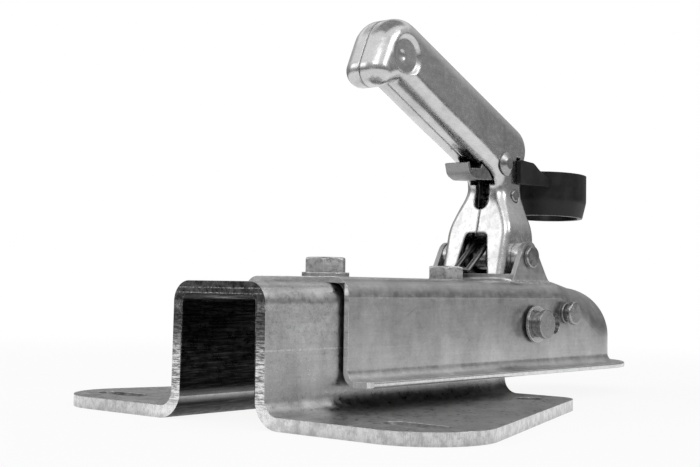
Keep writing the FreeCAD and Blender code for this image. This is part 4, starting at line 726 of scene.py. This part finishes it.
class COUPLER_OT_threads(bpy.types.Operator):
    """Threads on the free ends of the drawbar bolts"""
    bl_idname = "coupler.threads"
    bl_label = "Bolt threads"

    def execute(self, context):
        sizes = context.scene.coupler_threads
        end_chamfer, into_nut = 1.2 * MM, 0.3 * MM
        zinc = bpy.data.materials["Bolt zinc"]
        for place in ("rear", "front"):
            nut_low, nut_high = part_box(f"{place}_nut")
            bolt_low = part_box(f"{place}_bolt")[0]
            ridge = helix_ridge(f"{place}_thread", (nut_low.x + nut_high.x) / 2, bolt_low.z + end_chamfer,
                                nut_low.z + into_nut, sizes.shank / 2, sizes.pitch, sizes.depth, zinc)
            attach(ridge, "base")
        return {"FINISHED"}


# The photograph's viewpoint, in metres and degrees, and its focal length and centre in pixels.
VIEWPOINT = (-0.4161, -0.4105, 0.0643)
LOOK_YAW, LOOK_PITCH, LOOK_ROLL = 50.22, 2.87, 0.94
FOCAL, CENTRE_X, CENTRE_Y = 1226.05, 361.7, 224.3


def photo_camera():
    """The camera at the photograph's viewing angle."""
    data = bpy.data.cameras.new("Photo view")
    data.sensor_width = 36.0
    data.lens = FOCAL / PHOTO_WIDE * data.sensor_width
    data.shift_x = (PHOTO_WIDE / 2 - CENTRE_X) / PHOTO_WIDE
    data.shift_y = (CENTRE_Y - PHOTO_HIGH / 2) / PHOTO_WIDE
    data.clip_start, data.clip_end = 0.02, 60.0
    camera = bpy.data.objects.new("Photo view", data)
    yaw, pitch, roll = (math.radians(angle) for angle in (LOOK_YAW, LOOK_PITCH, LOOK_ROLL))
    ahead = Vector((math.sin(yaw) * math.cos(pitch), math.cos(yaw) * math.cos(pitch), math.sin(pitch)))
    right = Vector((math.cos(yaw), -math.sin(yaw), 0.0))
    up = right.cross(ahead)
    right, up = math.cos(roll) * right + math.sin(roll) * up, math.cos(roll) * up - math.sin(roll) * right
    turned = Matrix((right, up, -ahead)).transposed().to_4x4()
    camera.matrix_world = Matrix.Translation(VIEWPOINT) @ turned
    bpy.context.scene.collection.objects.link(camera)
    bpy.context.scene.camera = camera


def seen(net):
    """1 where a ray comes from the camera or a reflection, which see the plain background."""
    path = net.node("LightPath").outputs
    direct = net.math("MAXIMUM", path["Is Camera Ray"], path["Is Glossy Ray"])
    return net.math("MAXIMUM", direct, path["Is Transmission Ray"])


def distance(net):
    """How far a point is from its object's origin, in metres."""
    return net.vector("LENGTH", net.node("TexCoord").outputs["Object"])["Value"]


def floor_material(tone):
    """Matte near the object, for its shadow, and plain white further out."""
    material = bare_material("Studio floor")
    net = Wiring(material.node_tree)
    soft = net.noise(net.node("TexCoord").outputs["Object"], scale=3.0)
    matte = net.node("BsdfDiffuse", {"Color": net.grey(net.spread(soft, tone - 0.01, tone + 0.01))})
    glow = net.node("Emission", {"Color": WHITE, "Strength": 1.0})
    plain_from, plain_to = 0.4, 1.0
    plain = net.fade(distance(net), plain_from, plain_to, 0.9, 1.0)
    mix = net.node("MixShader", {"Fac": net.times(seen(net), plain)})
    net.tree.links.new(matte.outputs[0], mix.inputs[1])
    net.tree.links.new(glow.outputs[0], mix.inputs[2])
    net.surface(mix)
    return material


def card_material(name, low, high, top):
    """A reflection card that goes from one tone at the ground to another at its top."""
    material = bare_material(name)
    net = Wiring(material.node_tree)
    rise = net.parts(net.node("TexCoord").outputs["Object"])[2]
    net.surface(net.node("Emission", {"Color": WHITE, "Strength": net.fade(rise, 0.0, top, low, high)}))
    return material


def glow_material(name, reach, centre, rim):
    """A card that is brightest at its centre and falls off to its rim."""
    material = bare_material(name)
    net = Wiring(material.node_tree)
    core = reach * 0.15
    strength = net.fade(distance(net), core, reach, centre, rim)
    net.surface(net.node("Emission", {"Color": WHITE, "Strength": strength}))
    return material


def stage_card(card):
    """Makes a card show only in reflections."""
    card.visible_camera = False
    card.visible_diffuse = False
    card.visible_shadow = False
    card.visible_transmission = False


def level_square(name, x, y, z, half, material):
    """A level square with its middle at x, y, z."""
    corners = [(x - half, y - half, z), (x + half, y - half, z), (x + half, y + half, z),
               (x - half, y + half, z)]
    return new_piece(name, corners, [(0, 1, 2, 3)], material)


def card_ring(name, reach, high, material):
    """Upright cards in a ring round the object."""
    count = 48
    corners, faces = [], []
    for step in range(count):
        turn = math.tau * step / count
        corners += [(reach * math.cos(turn), reach * math.sin(turn), z) for z in (0.0, high)]
        ahead = (step + 1) % count
        faces.append((step * 2, ahead * 2, ahead * 2 + 1, step * 2 + 1))
    return new_piece(name, corners, faces, material)


def round_card(name, reach, material):
    """A round card, flat on its own X and Y."""
    count = 40
    turns = [math.tau * step / count for step in range(count)]
    corners = [(reach * math.cos(turn), reach * math.sin(turn), 0.0) for turn in turns]
    return new_piece(name, corners, [tuple(range(count))], material)


def turn_to(item, spot, aim, axis):
    """Puts an item at a spot with one of its own axes towards its aim."""
    item.location = spot
    item.rotation_mode = "QUATERNION"
    item.rotation_quaternion = (Vector(aim) - Vector(spot)).to_track_quat(axis, "Y")


def lamp(name, spot, aim, size, power):
    """A rectangular soft lamp."""
    data = bpy.data.lights.new(name, "AREA")
    data.shape = "RECTANGLE"
    data.size, data.size_y = size
    data.energy = power
    item = bpy.data.objects.new(name, data)
    turn_to(item, spot, aim, "-Z")
    bpy.context.scene.collection.objects.link(item)
    return item


def white_world():
    """Plain white behind everything, and a dimmer light all round the object."""
    world = bpy.data.worlds.new("Studio white")
    world.use_nodes = True
    world.node_tree.nodes.clear()
    net = Wiring(world.node_tree)
    around, behind = 0.55, 1.0
    sky = net.node("Background", {"Color": WHITE, "Strength": net.blend(seen(net), around, behind)})
    net.tree.links.new(sky.outputs[0], net.node("OutputWorld").inputs["Surface"])
    return world


class COUPLER_OT_studio(bpy.types.Operator):
    """Plain pale floor, soft lamps, reflection cards and the camera"""
    bl_idname = "coupler.studio"
    bl_label = "Studio"

    def execute(self, context):
        looks = context.scene.coupler_studio
        context.scene.world = white_world()
        context.scene.view_settings.view_transform = "Standard"

        floor = floor_material(looks.floor_tone)
        level_square("Studio_floor", 0.0, 0.0, CAD_BOX[0][2], half=8.0, material=floor)

        ring_reach, ring_high = 1.9, 1.5
        around = card_material("Cards around", low=0.2, high=0.62, top=ring_high)
        stage_card(card_ring("Cards_around", ring_reach, ring_high, around))
        above = card_material("Card above", low=0.3, high=0.3, top=ring_high)
        stage_card(level_square("Card_above", 0.4, 0.2, 1.3, half=0.7, material=above))

        aim = (0.12, 0.0, 0.08)
        key_spot = (-0.78, 0.95, 0.75)
        key = lamp("Key_lamp", key_spot, aim, size=(0.8, 0.5), power=looks.key_power)
        key.visible_glossy = False
        glow_reach = 0.42
        glow = glow_material("Card by key", glow_reach, centre=looks.card_glow, rim=0.45)
        card = round_card("Card_by_key", glow_reach, glow)
        turn_to(card, key_spot, aim, "Z")
        stage_card(card)
        lamp("Side_lamp", (-0.9, -0.6, 1.1), aim, size=(0.7, 0.4), power=looks.fill_power)
        lamp("Fill_lamp", (0.5, -1.2, 0.9), aim, size=(0.8, 0.3), power=looks.fill_power)
        photo_camera()
        return {"FINISHED"}


OPERATORS = (
    COUPLER_OT_bracket, COUPLER_OT_body, COUPLER_OT_handle, COUPLER_OT_fasteners, COUPLER_OT_working_parts,
    COUPLER_OT_plug_holder, COUPLER_OT_threads, COUPLER_OT_studio,
)


class COUPLER_PT_panel(bpy.types.Panel):
    """Lists the coupling head's pieces in the sidebar"""
    bl_idname = "COUPLER_PT_panel"
    bl_label = "Coupling head"
    bl_space_type = "VIEW_3D"
    bl_region_type = "UI"
    bl_category = "Coupling"

    def draw(self, context):
        scene = context.scene
        for settings in (scene.coupler_finish, scene.coupler_threads, scene.coupler_studio):
            box = self.layout.box()
            for name in settings.bl_rna.properties.keys():
                if name not in ("rna_type", "name"):
                    box.prop(settings, name)
        for operator in OPERATORS:
            self.layout.operator(operator.bl_idname)


CLASSES = (CouplerFinish, CouplerThreads, CouplerStudio, *OPERATORS, COUPLER_PT_panel)


def register():
    for item in CLASSES:
        bpy.utils.register_class(item)
    bpy.types.Scene.coupler_finish = bpy.props.PointerProperty(type=CouplerFinish)
    bpy.types.Scene.coupler_threads = bpy.props.PointerProperty(type=CouplerThreads)
    bpy.types.Scene.coupler_studio = bpy.props.PointerProperty(type=CouplerStudio)


def unregister():
    del bpy.types.Scene.coupler_finish
    del bpy.types.Scene.coupler_threads
    del bpy.types.Scene.coupler_studio
    for item in reversed(CLASSES):
        bpy.utils.unregister_class(item)


def main():
    register()
    for operator in OPERATORS:
        group, name = operator.bl_idname.split(".")
        getattr(getattr(bpy.ops, group), name)()


if __name__ == "__main__":
    main()
